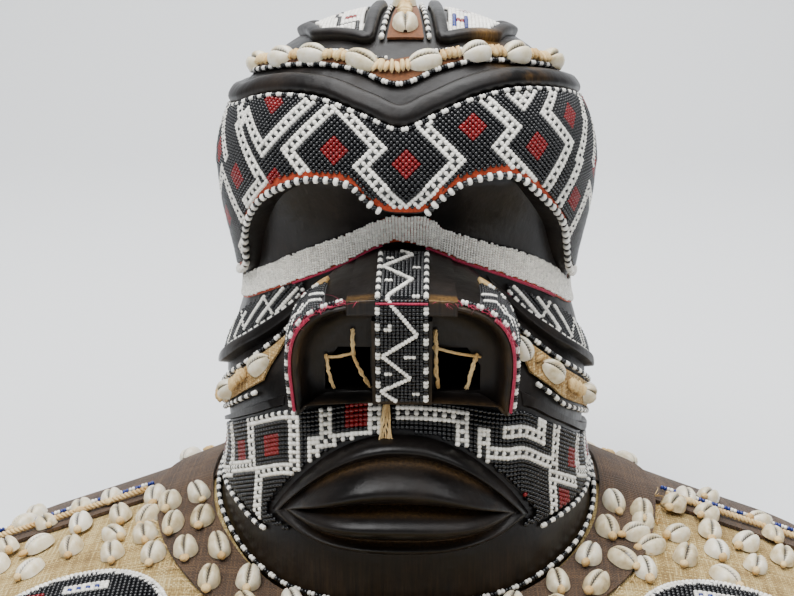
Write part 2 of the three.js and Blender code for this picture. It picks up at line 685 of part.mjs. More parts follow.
// Flat strips of raffia tied across a nostril. Each end is hundredths of the way from the septum
// to the nostril's outer side, then hundredths of the way up the nose
function nostrilTie(sign, lines) {
  const depth = (z) => -(frontFace(z) - nostrilDepth) - clearance;
  const place = ([across, up]) => new THREE.Vector2(
    sign * (septumWidth / 2 + nostrilWidth * across / 100), lerp(noseFoot, noseTop, up / 100),
  );
  const strip = (from, to) => {
    const reach = tieWidth / 2;
    const way = to.clone().sub(from).normalize();
    const ends = [from.clone().addScaledVector(way, -reach), to.clone().addScaledVector(way, reach)];
    return loft(ends.map(({ x, y: z }) => [[-1, 0], [1, 0], [1, -1], [-1, -1]].map(([side, out]) => (
      new THREE.Vector3(x - side * way.y * reach, depth(z) + out * tieThickness, z + side * way.x * reach)
    ))));
  };
  const strips = lines.map((ends) => strip(...ends.map(place)));
  return strips.reduce((sum, next) => sum.add(next)).simplify(0.2);
}

// The beaded strip down the nose: along the bone's top, over the tip and down the septum
function noseStrip() {
  const bridge = noseTop + bridgeRise;
  const tipDepth = noseTipDepth + 1;
  const fall = (bridge - boneTop) / (tipDepth - noseRoot);
  const start = frontAt(level.bandLow(0)) / 100 * headDepth + clearance + beadSkin + 2;
  const footDepth = frontFace(septumFoot) + 1;
  const slope = Math.hypot(1, fall);
  const lean = (tipDepth - footDepth) / (boneFoot - septumFoot);
  const steep = Math.hypot(1, lean);
  const profileAt = (height) => {
    const top = (depth) => bridge - (depth - noseRoot) * fall + height * slope;
    const tip = tipDepth + height * steep;
    return [[footDepth + 2 * lean + height * steep, septumFoot + 2], [tip, boneFoot], [tip, top(tip)],
      [lerp(tip, start, 0.5), top(lerp(tip, start, 0.5))], [start, top(start)]];
  };
  const face = (height) => profileAt(height).map(([depth, z]) => (
    [-1, 0, 1].map((side) => new THREE.Vector3(side * noseStripWidth / 2, -depth, z))
  ));
  return between(face(clearance), face(clearance + beadSkin));
}

// Materials
const finish = (color, roughness) => new THREE.MeshStandardMaterial({ color, roughness, metalness: 0 });
const carvedWood = finish(0x2b2622, 0.45);
const whiteBeads = finish(0xe4dfd2, 0.35);
const mixedBeads = finish(0x8d8a84, 0.35);
const raffia = finish(0xb9975f, 0.85);
const brownCloth = finish(0x5b3d28, 0.9);
const shell = finish(0xd9cbb0, 0.35);

const object = new THREE.Group();
const mask = new THREE.Group();
mask.position.y = headSetback;
object.add(mask);

// Adds a body to the mask as a named mesh
function add(name, solid, material) {
  const { vertProperties, triVerts } = solid.getMesh();
  const geometry = new THREE.BufferGeometry();
  geometry.setAttribute('position', new THREE.Float32BufferAttribute(vertProperties, 3));
  geometry.setIndex(new THREE.BufferAttribute(triVerts, 1));
  const mesh = new THREE.Mesh(geometry, material);
  mesh.name = name;
  mask.add(mesh);
}

const skinTop = clearance + beadSkin;
const clothHeight = clearance + clothSkin;
const raised = (surface, height) => (u, v) => lifted(surface, u, v, height);
const clothFace = (surface) => raised(surface, clothHeight);

add('wooden_helmet', woodenHelmet(), carvedWood);

// Forehead
const foreheadSkin = wrap(forehead, foreheadLow, foreheadHigh, foreheadRows, clearance, skinTop);
add('forehead_bead_panel', foreheadSkin, mixedBeads);
const archString = (from, to) => string(forehead, along(archLine, from, to, stringRoom / 2), 16);
add('left_eye_arch_bead_string', archString(-94, -6), whiteBeads);
add('right_eye_arch_bead_string', archString(6, 94), whiteBeads);

// Brow band and crown
const browClothLow = (angle) => level.browLow(angle) + stringRoom;
const browClothHigh = (angle) => level.browHigh(angle) - stringRoom;
add('brow_cloth_band', wrap(forehead, browClothLow, browClothHigh, 1, clearance, clothHeight), brownCloth);
add('lower_brow_bead_string', string(forehead, along(browLow, -96, 96, stringRoom / 2), 18), whiteBeads);
add('upper_brow_bead_string', string(forehead, along(browHigh, -96, 96, -stringRoom / 2), 18), whiteBeads);
const browMiddle = (t) => {
  const angle = lerp(-88, 88, t);
  return [angle, (level.browLow(angle) + level.browHigh(angle)) / 2];
};
add('brow_cowrie_string', cowrieString(clothFace(forehead), evenly(browMiddle, 9)), shell);
sides.forEach(({ name, sign }) => {
  const corners = crownCorners(sign);
  const inset = (k, x, y) => [corners[k][0] + sign * x, corners[k][1] + y];
  const room = frameWidth / 2 + 2.5;
  const inner = through([inset(0, room, room + 1), inset(5, room, 0), inset(4, room, -room)]);
  const outer = through([inset(1, -room, room + 1), inset(2, -room, 0), inset(3, -room, -room)]);
  add(`${name}_crown_bead_panel`, sheet(crown, inner, outer, 6, 4, clearance, skinTop), mixedBeads);
  const innerEdge = through([0, 5, 4].map((k) => inset(k, -room, 0)));
  add(`${name}_crown_bead_string`, string(crown, innerEdge, 8), whiteBeads);
});
const stripEdge = (sign) => through([0, 5, 4].map((k) => {
  const [x, y] = crownCorners(sign)[k];
  return [x - sign * (frameWidth / 2 + stringRadius * 2 + 4), y];
}));
const crownCloth = sheet(crown, stripEdge(-1), stripEdge(1), 8, 2, clearance, clothHeight);
add('crown_cloth_strip', crownCloth, brownCloth);
add('crown_cowrie_string', cowrieString(clothFace(crown),
  evenly(straight([0, -0.21 * headDepth], [0, 0.24 * headDepth]), 4)), shell);

// Face
add('white_bead_band', wrap(head, level.bandLow, level.bandHigh, 2, clearance, skinTop), whiteBeads);
const mouthSkin = wrap(head, mouthLow, level.mouth, mouthRows, clearance, skinTop);
add('mouth_bead_panel', mouthSkin.subtract(lipRoom()), mixedBeads);
const jawString = (from, to) => string(head, along(jawLine, from, to, stringRoom / 2), 8);
add('left_jaw_bead_string', jawString(-96, -36), whiteBeads);
add('right_jaw_bead_string', jawString(36, 96), whiteBeads);
const neckString = (t) => [wrapped(t * 360), level.neck(wrapped(t * 360)) + stringRoom * 1.6];
add('neck_bead_string', string(raised(head, 1.2), neckString, 25, true), whiteBeads);
const eyeMound = raised(head, 1.3);
const cheek = raised(head, 0.8);
sides.forEach((side) => {
  const { name } = side;
  const eyeSkin = sheet(eyeMound, through(side.eyeLow), through(side.eyeHigh), 7, 2, clearance, skinTop);
  add(`${name}_eye_bead_panel`, eyeSkin, mixedBeads);
  const high = through(side.cheekHigh, -stringRoom / 2 - seam / 2);
  const low = through(side.cheekLow, stringRoom / 2 + seam / 2);
  const across = (share, from, to) => (t) => {
    const at = lerp(from, to, t);
    return [0, 1].map((k) => lerp(low(at)[k], high(at)[k], share));
  };
  const [clothLow, clothHigh] = [0.27, 0.73].map((share) => across(share, 0.36, 1));
  add(`${name}_cheek_raffia_band`, sheet(cheek, clothLow, clothHigh, 7, 1, clearance, clothHeight), raffia);
  add(`${name}_upper_cheek_bead_string`, string(cheek, (t) => high(lerp(0.14, 1, t)), 11), whiteBeads);
  add(`${name}_lower_cheek_bead_string`, string(cheek, (t) => low(lerp(0.4, 1, t)), 9), whiteBeads);
  add(`${name}_cheek_cowrie_string`, cowrieString(clothFace(cheek), evenly(across(0.5, 0.42, 0.98), 4),
    cowrieLength, cowrieWidth - 2), shell);
});

// Nose coverings
add('nose_bead_strip', noseStrip(), mixedBeads);
sides.forEach(({ name, sign }) => {
  const at = (share) => 50 + sign * 50 * share;
  const patchEdge = (back) => straight([at(0.26), back], [at(0.6), back]);
  const patch = sheet(noseSkin, patchEdge(8), patchEdge(50), 6, 2, clearance, skinTop);
  add(`${name}_nose_wing_bead_patch`, patch, mixedBeads);
  const edgeString = string(noseSkin, straight([at(0.2), 3.5], [at(0.96), 3.5]), 12);
  add(`${name}_nose_edge_bead_string`, edgeString, whiteBeads);
});
add('left_nostril_raffia_tie', nostrilTie(-1, [
  [[40, 71], [41, 50]], [[41, 50], [96, 48]], [[96, 48], [86, 21]], [[41, 50], [9, 22]],
]), raffia);
add('right_nostril_raffia_tie', nostrilTie(1, [
  [[8, 71], [9, 56]], [[9, 56], [11, 22]], [[9, 56], [95, 49]], [[95, 49], [73, 21]],
]), raffia);

// Back of the head
const backStart = headColumns[faceColumns.length];
add('back_head_cloth', sheet(raised(head, 1), straight([backStart, 21], [360 - backStart, 21]),
  straight([backStart, 80], [360 - backStart, 80]), backColumns - 2, 7, clearance, clothHeight), brownCloth);

// Collar
const farAngle = 360 - layerAngle;
const collarEdge = (from, to, inward) => (t) => [lerp(from, to, t), inward];
add('front_collar_panel', sheet(collar, collarEdge(-faceEnd, faceEnd, 0), collarEdge(-faceEnd, faceEnd, 100),
  2 * faceEnd / faceStep, 3, -collarCloth, 0), raffia);
const rearEdge = (share) => collarEdge(layerAngle, farAngle, share);
const rearColumns = (farAngle - layerAngle) / faceStep;
const rearPanel = sheet(clothTop, rearEdge(0), rearEdge(100), rearColumns, 3, -collarCloth, 0);
add('back_collar_panel', rearPanel, brownCloth);
const bandBed = raised(clothTop, 1);
const bandEdge = (distance) => ring(distance, -180, 180);
const bandColumns = 360 / faceStep;
const [bandOuter, bandInner] = [bandEdge(neckBandWidth + 3), bandEdge(3)];
const bandCloth = sheet(bandBed, bandOuter, bandInner, bandColumns, 1, clearance, clothHeight, true);
add('neck_cloth_band', bandCloth, brownCloth);
const bandTop = raised(clothFace(bandBed), 0.3);
const innerCowries = cowrieString(bandTop, evenly(ring(12.5, -80, 80), 13), cowrieWidth, cowrieLength - 2);
add('inner_neck_cowrie_string', innerCowries, shell);
add('outer_neck_cowrie_string', cowrieString(bandTop, evenly(ring(31.5, -80, 80), 15)), shell);

// Cowries in rays on the front cloth, between the medallions and the back layer
const rays = [[83, 56, 4], [75, 56, 4], [67, 56, 3], [59, 56, 1]];
const raySpots = (sign) => rays.flatMap(([angle, start, shells], k) => {
  const spots = count(shells, (i) => fromNeck(sign * angle, start + i * cowriePitch));
  return k % 2 ? spots.reverse() : spots;
});
sides.forEach(({ name, sign }) => {
  add(`${name}_collar_cowrie_string`, cowrieString(clothTop, raySpots(sign)), shell);
  add(`${name}_bead_medallion`, medallion(sign * (medallionHalfWidth + 140), -165), mixedBeads);
  const edge = sign < 0 ? 360 - layerAngle : layerAngle;
  const out = sign < 0 ? -1 : 1;
  add(`${name}_layer_rope`, rail(clothTop, straight([edge + out * 3, 3], [edge + out * 3, 72]),
    roundSection(ropeRadius, 4, ropeRadius + clearance), 5), raffia);
  const layerString = string(raised(clothTop, 0.5), straight([edge + out * 7, 3], [edge + out * 7, 72]), 5);
  add(`${name}_layer_bead_string`, layerString, whiteBeads);
});
add('back_collar_cowrie_string', cowrieString(raised(clothTop, 1), evenly(ring(54, 112, 248), 9)), shell);

export default object;
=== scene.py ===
# A beaded helmet mask standing in its cloth collar, seen from a little above.
# Shapes are worked out in millimetres with the face along -Y and the origin under the head's middle.
import math
import bmesh
import bpy
import numpy as np
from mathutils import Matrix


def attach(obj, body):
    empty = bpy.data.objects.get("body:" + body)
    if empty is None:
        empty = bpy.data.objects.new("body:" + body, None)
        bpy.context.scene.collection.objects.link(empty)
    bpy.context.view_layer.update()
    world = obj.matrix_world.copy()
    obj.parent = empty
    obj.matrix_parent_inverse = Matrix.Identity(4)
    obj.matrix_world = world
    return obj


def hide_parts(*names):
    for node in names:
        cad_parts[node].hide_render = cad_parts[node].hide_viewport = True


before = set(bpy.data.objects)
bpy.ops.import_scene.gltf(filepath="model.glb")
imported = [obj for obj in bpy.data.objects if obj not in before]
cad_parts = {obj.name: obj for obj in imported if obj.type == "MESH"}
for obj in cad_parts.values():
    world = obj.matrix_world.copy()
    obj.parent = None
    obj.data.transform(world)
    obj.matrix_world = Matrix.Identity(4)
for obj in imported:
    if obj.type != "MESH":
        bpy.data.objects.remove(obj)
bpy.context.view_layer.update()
dice = np.random.default_rng(7)
print("frame loaded")

# Tables of the head: level is in hundredths of its height, angle in degrees from the face's middle
headSize = {"height": 378, "width": 250, "depth": 278, "setback": 85, "wall": 9, "seamAngle": 98}
headForm = {
    "profile": [
        [0, 49.6, 49.6, 46], [6.6, 50.4, 52.5, 46.8], [14.6, 50.4, 52.9, 46.8], [20.6, 48.8, 52.2, 45.7],
        [26.5, 47.4, 51.4, 44.6], [33.1, 47.8, 50.9, 43.9], [39.9, 47.8, 50, 43.5], [43.5, 46.6, 47.2, 43.3],
        [46.8, 45.2, 41.4, 43.2], [52.4, 43, 35.6, 43.2], [59.5, 43.2, 33.1, 44.2], [67.5, 45.2, 35.3, 46],
        [75.4, 47.4, 41.7, 47.1],
    ],
    "browBulge": [
        [50, 0, 0], [54.2, 1.5, 8], [62.2, 4, 19], [69.3, 4.5, 20.5], [75.4, 2.5, 12], [89, 2.5, 8], [97, 1.5, 4],
        [106, 0, 0],
    ],
    "equatorLevel": 75.4, "crownLevels": 43.65, "squareness": 2.35,
}
lines = {
    "ridge": [
        [-180, 86], [-150, 86], [-115, 86.8], [-88, 87.6], [-66, 89.2], [-54, 91.5], [-41, 92.9], [-26, 92.6],
        [-11, 89.9], [-1, 87.8], [8, 89.9], [22, 92.9], [38, 94.2], [56, 93.1], [82, 89.9], [110, 87.6],
        [150, 86], [180, 86],
    ],
    "browLow": [
        [-99, 90.9], [-78, 92.3], [-52, 95.2], [-35, 96.3], [-19, 95.6], [-2, 92.9], [14, 96], [32, 97.4],
        [50, 96.3], [86, 92.6], [99, 91.2],
    ],
    "browHigh": [
        [-99, 94], [-68, 97.5], [-44, 100], [-22, 100.2], [-11, 99.1], [7, 100.4], [24, 101], [51, 100],
        [73, 96.8], [99, 94.4],
    ],
    "arch": [
        [-99, 54.8], [-80, 55], [-70, 56.1], [-60, 58.5], [-56, 62.7], [-49, 67.7], [-39, 72.5], [-28, 75.4],
        [-20, 75.9], [-13, 74.9], [-9, 72.5], [-5, 70.9], [0, 70.6], [6, 70.9], [9, 72.8], [14, 75.1],
        [22, 76.5], [30, 76.2], [40, 72], [51, 66.7], [58, 61.6], [64, 57.9], [74, 55.3], [99, 54.8],
    ],
    "bandHigh": [
        [-98, 53.8], [-78, 54.4], [-64, 56.9], [-45, 61.1], [-30, 64.3], [-18, 66.7], [-11, 68.5], [-5, 69.8],
        [0, 69.8], [8, 69.6], [14, 67.5], [27, 65.1], [43, 62.4], [58, 59.1], [74, 54.6], [98, 53.7],
    ],
    "bandLow": [
        [-98, 50.3], [-78, 51.1], [-66, 52.4], [-39, 57.9], [-24, 61.1], [-11, 64.4], [-2, 65.5], [9, 64.4],
        [20, 62.2], [35, 59.5], [52, 55.8], [74, 50.8], [98, 49.2],
    ],
    "jaw": [
        [-98, 19.8], [-68, 19.6], [-50, 18.8], [-42, 17.7], [-37, 17.2], [0, 16.4], [32, 17.7], [44, 18.3],
        [60, 18.5], [80, 19], [98, 19.6],
    ],
    "neck": [
        [-180, 15.9], [-90, 15.9], [-74, 15.3], [-53, 13], [-40, 10.1], [-27, 7.7], [0, 6.6], [27, 7.9],
        [40, 9.8], [53, 11.6], [74, 14.3], [90, 15.9], [180, 15.9],
    ],
    "mouth": [
        [-98, 24.6], [-80, 27.5], [-59, 31.7], [-42, 35.9], [-31.5, 38.6], [-26, 39.3], [-12, 41.4], [0, 42],
        [12, 41.4], [26, 39.3], [31, 38.9], [39.5, 35.9], [62, 29.3], [80, 26.7], [98, 24.6],
    ],
}
sideLines = {
    "left": {
        "sign": -1, "shells": [0.33, 0.66, 0.95],
        "eyeHigh": [[-37, 57.4], [-45, 56.1], [-56, 53.2], [-68, 49.1], [-77, 42.6]],
        "eyeLow": [[-37, 56.2], [-40.5, 53.8], [-49, 49.9], [-59, 46.2], [-76.5, 41.1]],
        "lidLow": [[-30, 58.2], [-35, 54.2], [-41.5, 50], [-50.5, 46], [-66, 41], [-84, 37.9]],
        "cheekHigh": [[-31.5, 56.2], [-37.5, 52], [-43, 48], [-52, 43.4], [-74, 36.9], [-97, 32.4]],
        "cheekLow": [[-31, 42.3], [-39, 39.8], [-47, 37.3], [-55.5, 34.8], [-70, 31.3], [-97, 26.8]],
        "stripHigh": [[-31.5, 41], [-39.5, 38.7], [-46, 36.8], [-59, 33.1], [-80, 28.5], [-97, 25.8]],
        "stripLow": [[-31.5, 39.2], [-36, 38], [-43, 36], [-59, 32], [-80, 27.8], [-97, 25.1]],
    },
    "right": {
        "sign": 1, "shells": [0.22, 0.43, 0.72, 0.95],
        "eyeHigh": [[38, 57.3], [47, 55], [59, 51.7], [71, 47.2], [83, 41.2]],
        "eyeLow": [[38, 56.1], [42.5, 53.2], [51, 49.3], [62, 45], [82.5, 39.7]],
        "lidLow": [[31, 58.5], [36, 54.6], [43, 50.3], [52.5, 45.8], [73, 39.5], [90, 36.6]],
        "cheekHigh": [[30, 57.4], [36.5, 52.6], [43.5, 48.2], [52, 44], [75, 37.6], [97, 34]],
        "cheekLow": [[31, 43.4], [35, 41.9], [41, 39.2], [49, 35.9], [71, 30.8], [97, 27.4]],
        "stripHigh": [[31.5, 41.9], [37.5, 39.5], [45, 36.4], [59, 32.2], [80, 28.3], [97, 26.3]],
        "stripLow": [[31.5, 39.4], [35, 38.4], [42, 35.8], [62, 29.8], [80, 27.2], [97, 25.1]],
    },
}


def curve(table, column=1):
    # Hermite curve through the rows: the slope at a row is that of the line between its neighbours
    x = np.array([row[0] for row in table], float)
    y = np.array([row[column] for row in table], float)
    index = np.arange(len(x))
    low, high = np.maximum(index - 1, 0), np.minimum(index + 1, len(x) - 1)
    slope = (y[high] - y[low]) / (x[high] - x[low])

    def at(value):
        v = np.clip(value, x[0], x[-1])
        i = np.clip(np.searchsorted(x, v, side="right") - 1, 0, len(x) - 2)
        step = x[i + 1] - x[i]
        t = (v - x[i]) / step
        return ((1 + 2 * t) * (1 - t) ** 2 * y[i] + t * (1 - t) ** 2 * step * slope[i]
                + t * t * (3 - 2 * t) * y[i + 1] + t * t * (t - 1) * step * slope[i + 1])
    return at


def smoothstep(x, low, high):
    t = np.clip((x - low) / (high - low), 0, 1)
    return t * t * (3 - 2 * t)


def mix(a, b, t):
    return a + (b - a) * t


def wrapped(angle):
    return (np.asarray(angle, float) + 540) % 360 - 180


lineAt = {name: curve(table) for name, table in lines.items()}
halfWidthAt, frontAt, backAt = (curve(headForm["profile"], k) for k in (1, 2, 3))
bulgeSideAt, bulgeFrontAt = curve(headForm["browBulge"], 1), curve(headForm["browBulge"], 2)


def headPoint(angle, level, side=0.0, fore=0.0, rear=0.0, top=0.0):
    # Each level is a superellipse of half width, front and back depth; above the equator
    # they shrink with the cosine of a quarter turn while the height grows with its sine
    angle, level = np.broadcast_arrays(np.asarray(angle, float), np.asarray(level, float))
    rise = np.clip((level - headForm["equatorLevel"]) / headForm["crownLevels"], 0, 1) * np.pi / 2
    low = np.minimum(level, headForm["equatorLevel"])
    shrink = np.maximum(np.cos(rise), 1e-5)
    halfWidth = (halfWidthAt(low) / 100 * headSize["width"] + side) * shrink
    front = (frontAt(low) / 100 * headSize["depth"] + fore) * shrink
    back = (backAt(low) / 100 * headSize["depth"] + rear) * shrink
    s, c = np.sin(np.radians(angle)), np.cos(np.radians(angle))
    depth = np.where(c > 0, front, back)
    power = headForm["squareness"]
    radius = ((np.abs(s) / halfWidth) ** power + (np.abs(c) / depth) ** power) ** (-1 / power)
    dome = (100 - headForm["equatorLevel"]) / 100 * headSize["height"] + top
    z = low / 100 * headSize["height"] + dome * np.sin(rise)
    return np.stack([radius * s, -radius * c, z], -1)


def head(angle, level):
    return headPoint(angle, level)


def forehead(angle, level):
    # The head with its brow pushed out, which fades behind the side seams
    seam = headSize["seamAngle"]
    fade = 1 - smoothstep(np.abs(angle), seam - 14, seam + 1)
    return headPoint(angle, level, bulgeSideAt(level) * fade, bulgeFrontAt(level) * fade)


def lengthAlong(points):
    # Length from the first of a row of points to each of them
    return np.concatenate([[0], np.cumsum(np.linalg.norm(np.diff(points, axis=0), axis=1))])


def unit(vectors):
    return vectors / np.maximum(np.linalg.norm(vectors, axis=-1, keepdims=True), 1e-9)


def crownPlace(x, y):
    # A plan place as angle and level: the share of the equator's radius gives the rise
    angle = np.degrees(np.arctan2(x, -y))
    whole = np.linalg.norm(headPoint(angle, headForm["equatorLevel"])[..., :2], axis=-1)
    rise = np.arccos(np.clip(np.hypot(x, y) / whole, 0, 1))
    return angle, headForm["equatorLevel"] + headForm["crownLevels"] * rise / (np.pi / 2)


def crown(x, y):
    return forehead(*crownPlace(x, y))


def normalsOf(surface, u, v, step=0.4):
    # Cross product of the surface's two directions, by central differences
    across = surface(u + step, v) - surface(u - step, v)
    return unit(np.cross(across, surface(u, v + step) - surface(u, v - step)))


def lifted(surface, u, v, height):
    return surface(u, v) + normalsOf(surface, u, v) * np.asarray(height, float)[..., None]


def raised(surface, height):
    return lambda u, v: lifted(surface, u, v, height)


def through(points, shift=0.0):
    # A path through places of a surface, for t from 0 to 1
    first, second = (curve([[i, p[k]] for i, p in enumerate(points)]) for k in (0, 1))
    last = len(points) - 1
    return lambda t: (first(t * last), second(t * last) + shift)


def straightThrough(points):
    # The same in straight stretches, even in length
    line = np.array(points, float)
    reach = lengthAlong(line)
    return lambda t: [np.interp(np.asarray(t) * reach[-1], reach, line[:, k]) for k in (0, 1)]


def alongLine(name, start, end, shift=0.0):
    # The path over one of the head's lines between two angles, shifted up by some levels
    def at(t):
        angle = wrapped(mix(start, end, t))
        return angle, lineAt[name](angle) + shift
    return at


def levelLine(start, end, level):
    return lambda t: (mix(start, end, t), level + 0 * t)


def toScene(points):
    return (np.asarray(points, float).reshape(-1, 3) + [0, headSize["setback"], 0]) / 1000


def inScene(name, data):
    thing = bpy.data.objects.new(name, data)
    bpy.context.scene.collection.objects.link(thing)
    return thing

def asPiece(piece, materials, node=None, values=None, sharp=40):
    # An object gets its values by point, smooth faces and materials, and rides on the mask
    mesh = piece.data
    for key, value in (values or {}).items():
        layer = mesh.attributes.new(key, "FLOAT", "POINT")
        layer.data.foreach_set("value", np.asarray(value, np.float32).ravel())
    mesh.polygons.foreach_set("use_smooth", np.ones(len(mesh.polygons), bool))
    mesh.set_sharp_from_angle(angle=math.radians(sharp))
    for material in materials:
        mesh.materials.append(material)
    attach(piece, "root")
    if node:
        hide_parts(node)
    return piece


def newPiece(name, points, faceSets, materials, slotName, node=None, values=None, indices=None, sharp=40):
    # points and faces (arrays of three or four corners each) as one piece
    mesh = bpy.data.meshes.new(name)
    corners = np.concatenate([np.asarray(f, np.int32).ravel() for f in faceSets])
    sizes = np.concatenate([np.full(len(f), np.shape(f)[1]) for f in faceSets])
    mesh.vertices.add(len(points))
    mesh.vertices.foreach_set("co", toScene(points).astype(np.float32).ravel())
    mesh.loops.add(len(corners))
    mesh.loops.foreach_set("vertex_index", corners)
    mesh.polygons.add(len(sizes))
    mesh.polygons.foreach_set("loop_start", (np.cumsum(sizes) - sizes).astype(np.int32))
    if indices is not None:
        mesh.polygons.foreach_set("material_index", np.asarray(indices, np.int32))
    mesh.update(calc_edges=True)
    mesh.validate()
    return asPiece(inScene(name, mesh), materials, node, values, sharp)


def gridFaces(rows, columns, ring=False, start=0, turned=False):
    # The quads of a grid of points, row by row; a ring joins its last column to its first
    j, i = np.meshgrid(np.arange(rows - 1), np.arange(columns if ring else columns - 1), indexing="ij")
    n = (i + 1) % columns
    quads = np.stack([j * columns + i, j * columns + n, (j + 1) * columns + n, (j + 1) * columns + i], -1)
    quads = quads.reshape(-1, 4) + start
    return quads[:, ::-1] if turned else quads


def shellOf(under, over, ring=False):
    # The closed body between two grids of points: both faces and the strips round their edges
    rows, columns = over.shape[:2]
    half = rows * columns
    points = np.concatenate([over.reshape(-1, 3), under.reshape(-1, 3)])
    faces = [gridFaces(rows, columns, ring), gridFaces(rows, columns, ring, half, True)]
    place = np.arange(half).reshape(rows, columns)
    loop = [place[0], place[-1][::-1]] if ring else [
        np.concatenate([place[0], place[1:, -1], place[-1, -2::-1], place[-2:0:-1, 0]])]
    for edge in loop:
        after = np.roll(edge, -1)
        faces.append(np.stack([edge, edge + half, after + half, after], -1))
    return points, faces


def capped(rings):
    # Rings closed by a middle point at each end
    count = rings.shape[1]
    flat = rings.reshape(-1, 3)
    i = np.arange(count)
    n = (i + 1) % count
    last = (len(rings) - 1) * count
    faces = [gridFaces(len(rings), count, True), np.stack([n, i, np.full(count, len(flat))], -1),
             np.stack([last + i, last + n, np.full(count, len(flat) + 1)], -1)]
    return np.concatenate([flat, [rings[0].mean(0), rings[-1].mean(0)]]), faces


def sweep(points, normals, section, closed=False):
    # A section, listed against the clock as places across and above, carried along a path
    ahead = np.roll(points, -1, 0) - np.roll(points, 1, 0)
    if not closed:
        ahead[0], ahead[-1] = points[1] - points[0], points[-1] - points[-2]
    side = unit(np.cross(normals, unit(ahead)))
    rings = points[:, None] + side[:, None] * section[:, :1] + normals[:, None] * section[:, 1:]
    if not closed:
        return capped(rings)
    flat = rings.reshape(-1, 3)
    return flat, [gridFaces(len(points) + 1, len(section), True) % len(flat)]


def roundSection(width, height, count, power=2.0):
    # A superellipse of that width and height
    turn = (np.arange(count) + 0.5) / count * 2 * np.pi
    c, s = np.cos(turn), np.sin(turn)
    return np.stack([width / 2 * np.sign(c) * np.abs(c) ** (2 / power),
                     height / 2 * np.sign(s) * np.abs(s) ** (2 / power)], -1)


def joined(parts):
    # Several bodies as one list of points and faces
    points, faces, start = [], [], 0
    for partPoints, partFaces in parts:
        points.append(partPoints)
        faces += [f + start for f in partFaces]
        start += len(partPoints)
    return np.concatenate(points), faces


def evenPath(surface, path, height, pitch=None, count=None):
    # Points at one pitch along a path, with the way ahead and the surface's normal at each
    t = np.linspace(0, 1, 600)
    length = lengthAlong(lifted(surface, *path(t), height))
    count = count or max(int(round(length[-1] / pitch)), 2)
    at = np.interp((np.arange(count) + 0.5) / count * length[-1], length, t)
    normal = normalsOf(surface, *path(at))
    before, after = (lifted(surface, *path(np.clip(at + d, 0, 1)), height) for d in (-0.002, 0.002))
    ahead = after - before
    ahead = unit(ahead - normal * np.sum(ahead * normal, -1, keepdims=True))
    return lifted(surface, *path(at), height), ahead, normal


# Materials
def linearColour(code):
    # sRGB hex to linear
    parts = [int(code[i:i + 2], 16) / 255 for i in (1, 3, 5)]
    return tuple(p / 12.92 if p <= 0.04045 else ((p + 0.055) / 1.055) ** 2.4 for p in parts) + (1.0,)


def addNode(tree, kind, settings=None, links=None, output=0):
    # One node with its settings (properties or sockets) and what feeds its sockets; gives one output
    node = tree.nodes.new("ShaderNode" + kind)
    for key, value in (settings or {}).items():
        if isinstance(key, str) and hasattr(node, key):
            setattr(node, key, value)
        else:
            node.inputs[key].default_value = value
    for key, source in (links or {}).items():
        tree.links.new(source, node.inputs[key])
    return node.outputs[output]


def newMaterial(name, settings):
    material = bpy.data.materials.new(name)
    material.use_nodes = True
    for key, value in settings.items():
        material.node_tree.nodes["Principled BSDF"].inputs[key].default_value = value
    return material, material.node_tree


def fed(material, links):
    # The material, with what feeds its shader
    for key, source in links.items():
        material.node_tree.links.new(source, material.node_tree.nodes["Principled BSDF"].inputs[key])
    return material


def colourRamp(tree, factor, stops):
    output = addNode(tree, "ValToRGB", {}, {"Fac": factor}, "Color")
    elements = output.node.color_ramp.elements
    while len(elements) < len(stops):
        elements.new(0.5)
    for element, (place, code) in zip(elements, stops):
        element.position = place
        element.color = linearColour(code)
    return output


def noise(tree, scale, detail, roughness=0.5, vector=None, output=0):
    # Clouds on the object's own coordinates, that many to the metre
    if vector is None:
        vector = addNode(tree, "TexCoord", output="Object")
    return addNode(tree, "TexNoise", {"Scale": scale, "Detail": detail, "Roughness": roughness},
                   {"Vector": vector}, output)


def byPoint(tree, name):
    return addNode(tree, "Attribute", {"attribute_name": name}, output="Fac")


def calculate(tree, operation, *values):
    # One sum, of numbers and of what other nodes give
    numbers = {k: value for k, value in enumerate(values) if isinstance(value, float)}
    links = {k: value for k, value in enumerate(values) if k not in numbers}
    return addNode(tree, "Math", {"operation": operation} | numbers, links)


def ranged(tree, value, low, high, least, most):
    return addNode(tree, "MapRange", {"From Min": low, "From Max": high, "To Min": least, "To Max": most},
                   {"Value": value})


def blended(tree, factor, first, second, kind="RGBA"):
    start, output = (6, 2) if kind == "RGBA" else (2, 0)
    return addNode(tree, "Mix", {"data_type": kind}, {0: factor, start: first, start + 1: second}, output)


def shaded(tree, colour, factor):
    # A colour, as a code or from a node, multiplied by a factor
    fixed = {6: linearColour(colour)} if isinstance(colour, str) else {}
    return addNode(tree, "Mix", {"data_type": "RGBA", "blend_type": "MULTIPLY", 0: 1.0} | fixed,
                   {7: factor} if fixed else {6: colour, 7: factor}, 2)


def bumped(tree, height, strength, distance, normal=None):
    return addNode(tree, "Bump", {"Strength": strength, "Distance": distance},
                   {"Height": height} if normal is None else {"Height": height, "Normal": normal})


def glassBeads(name, code, roughness):
    # Opaque drawn-glass seed beads: glossy and a little uneven from bead to bead
    material, tree = newMaterial(name, {"Roughness": roughness, "IOR": 1.52})
    spread = ranged(tree, byPoint(tree, "tone"), 0, 1, 0.72, 1.12)
    return fed(material, {"Base Color": shaded(tree, code, spread)})


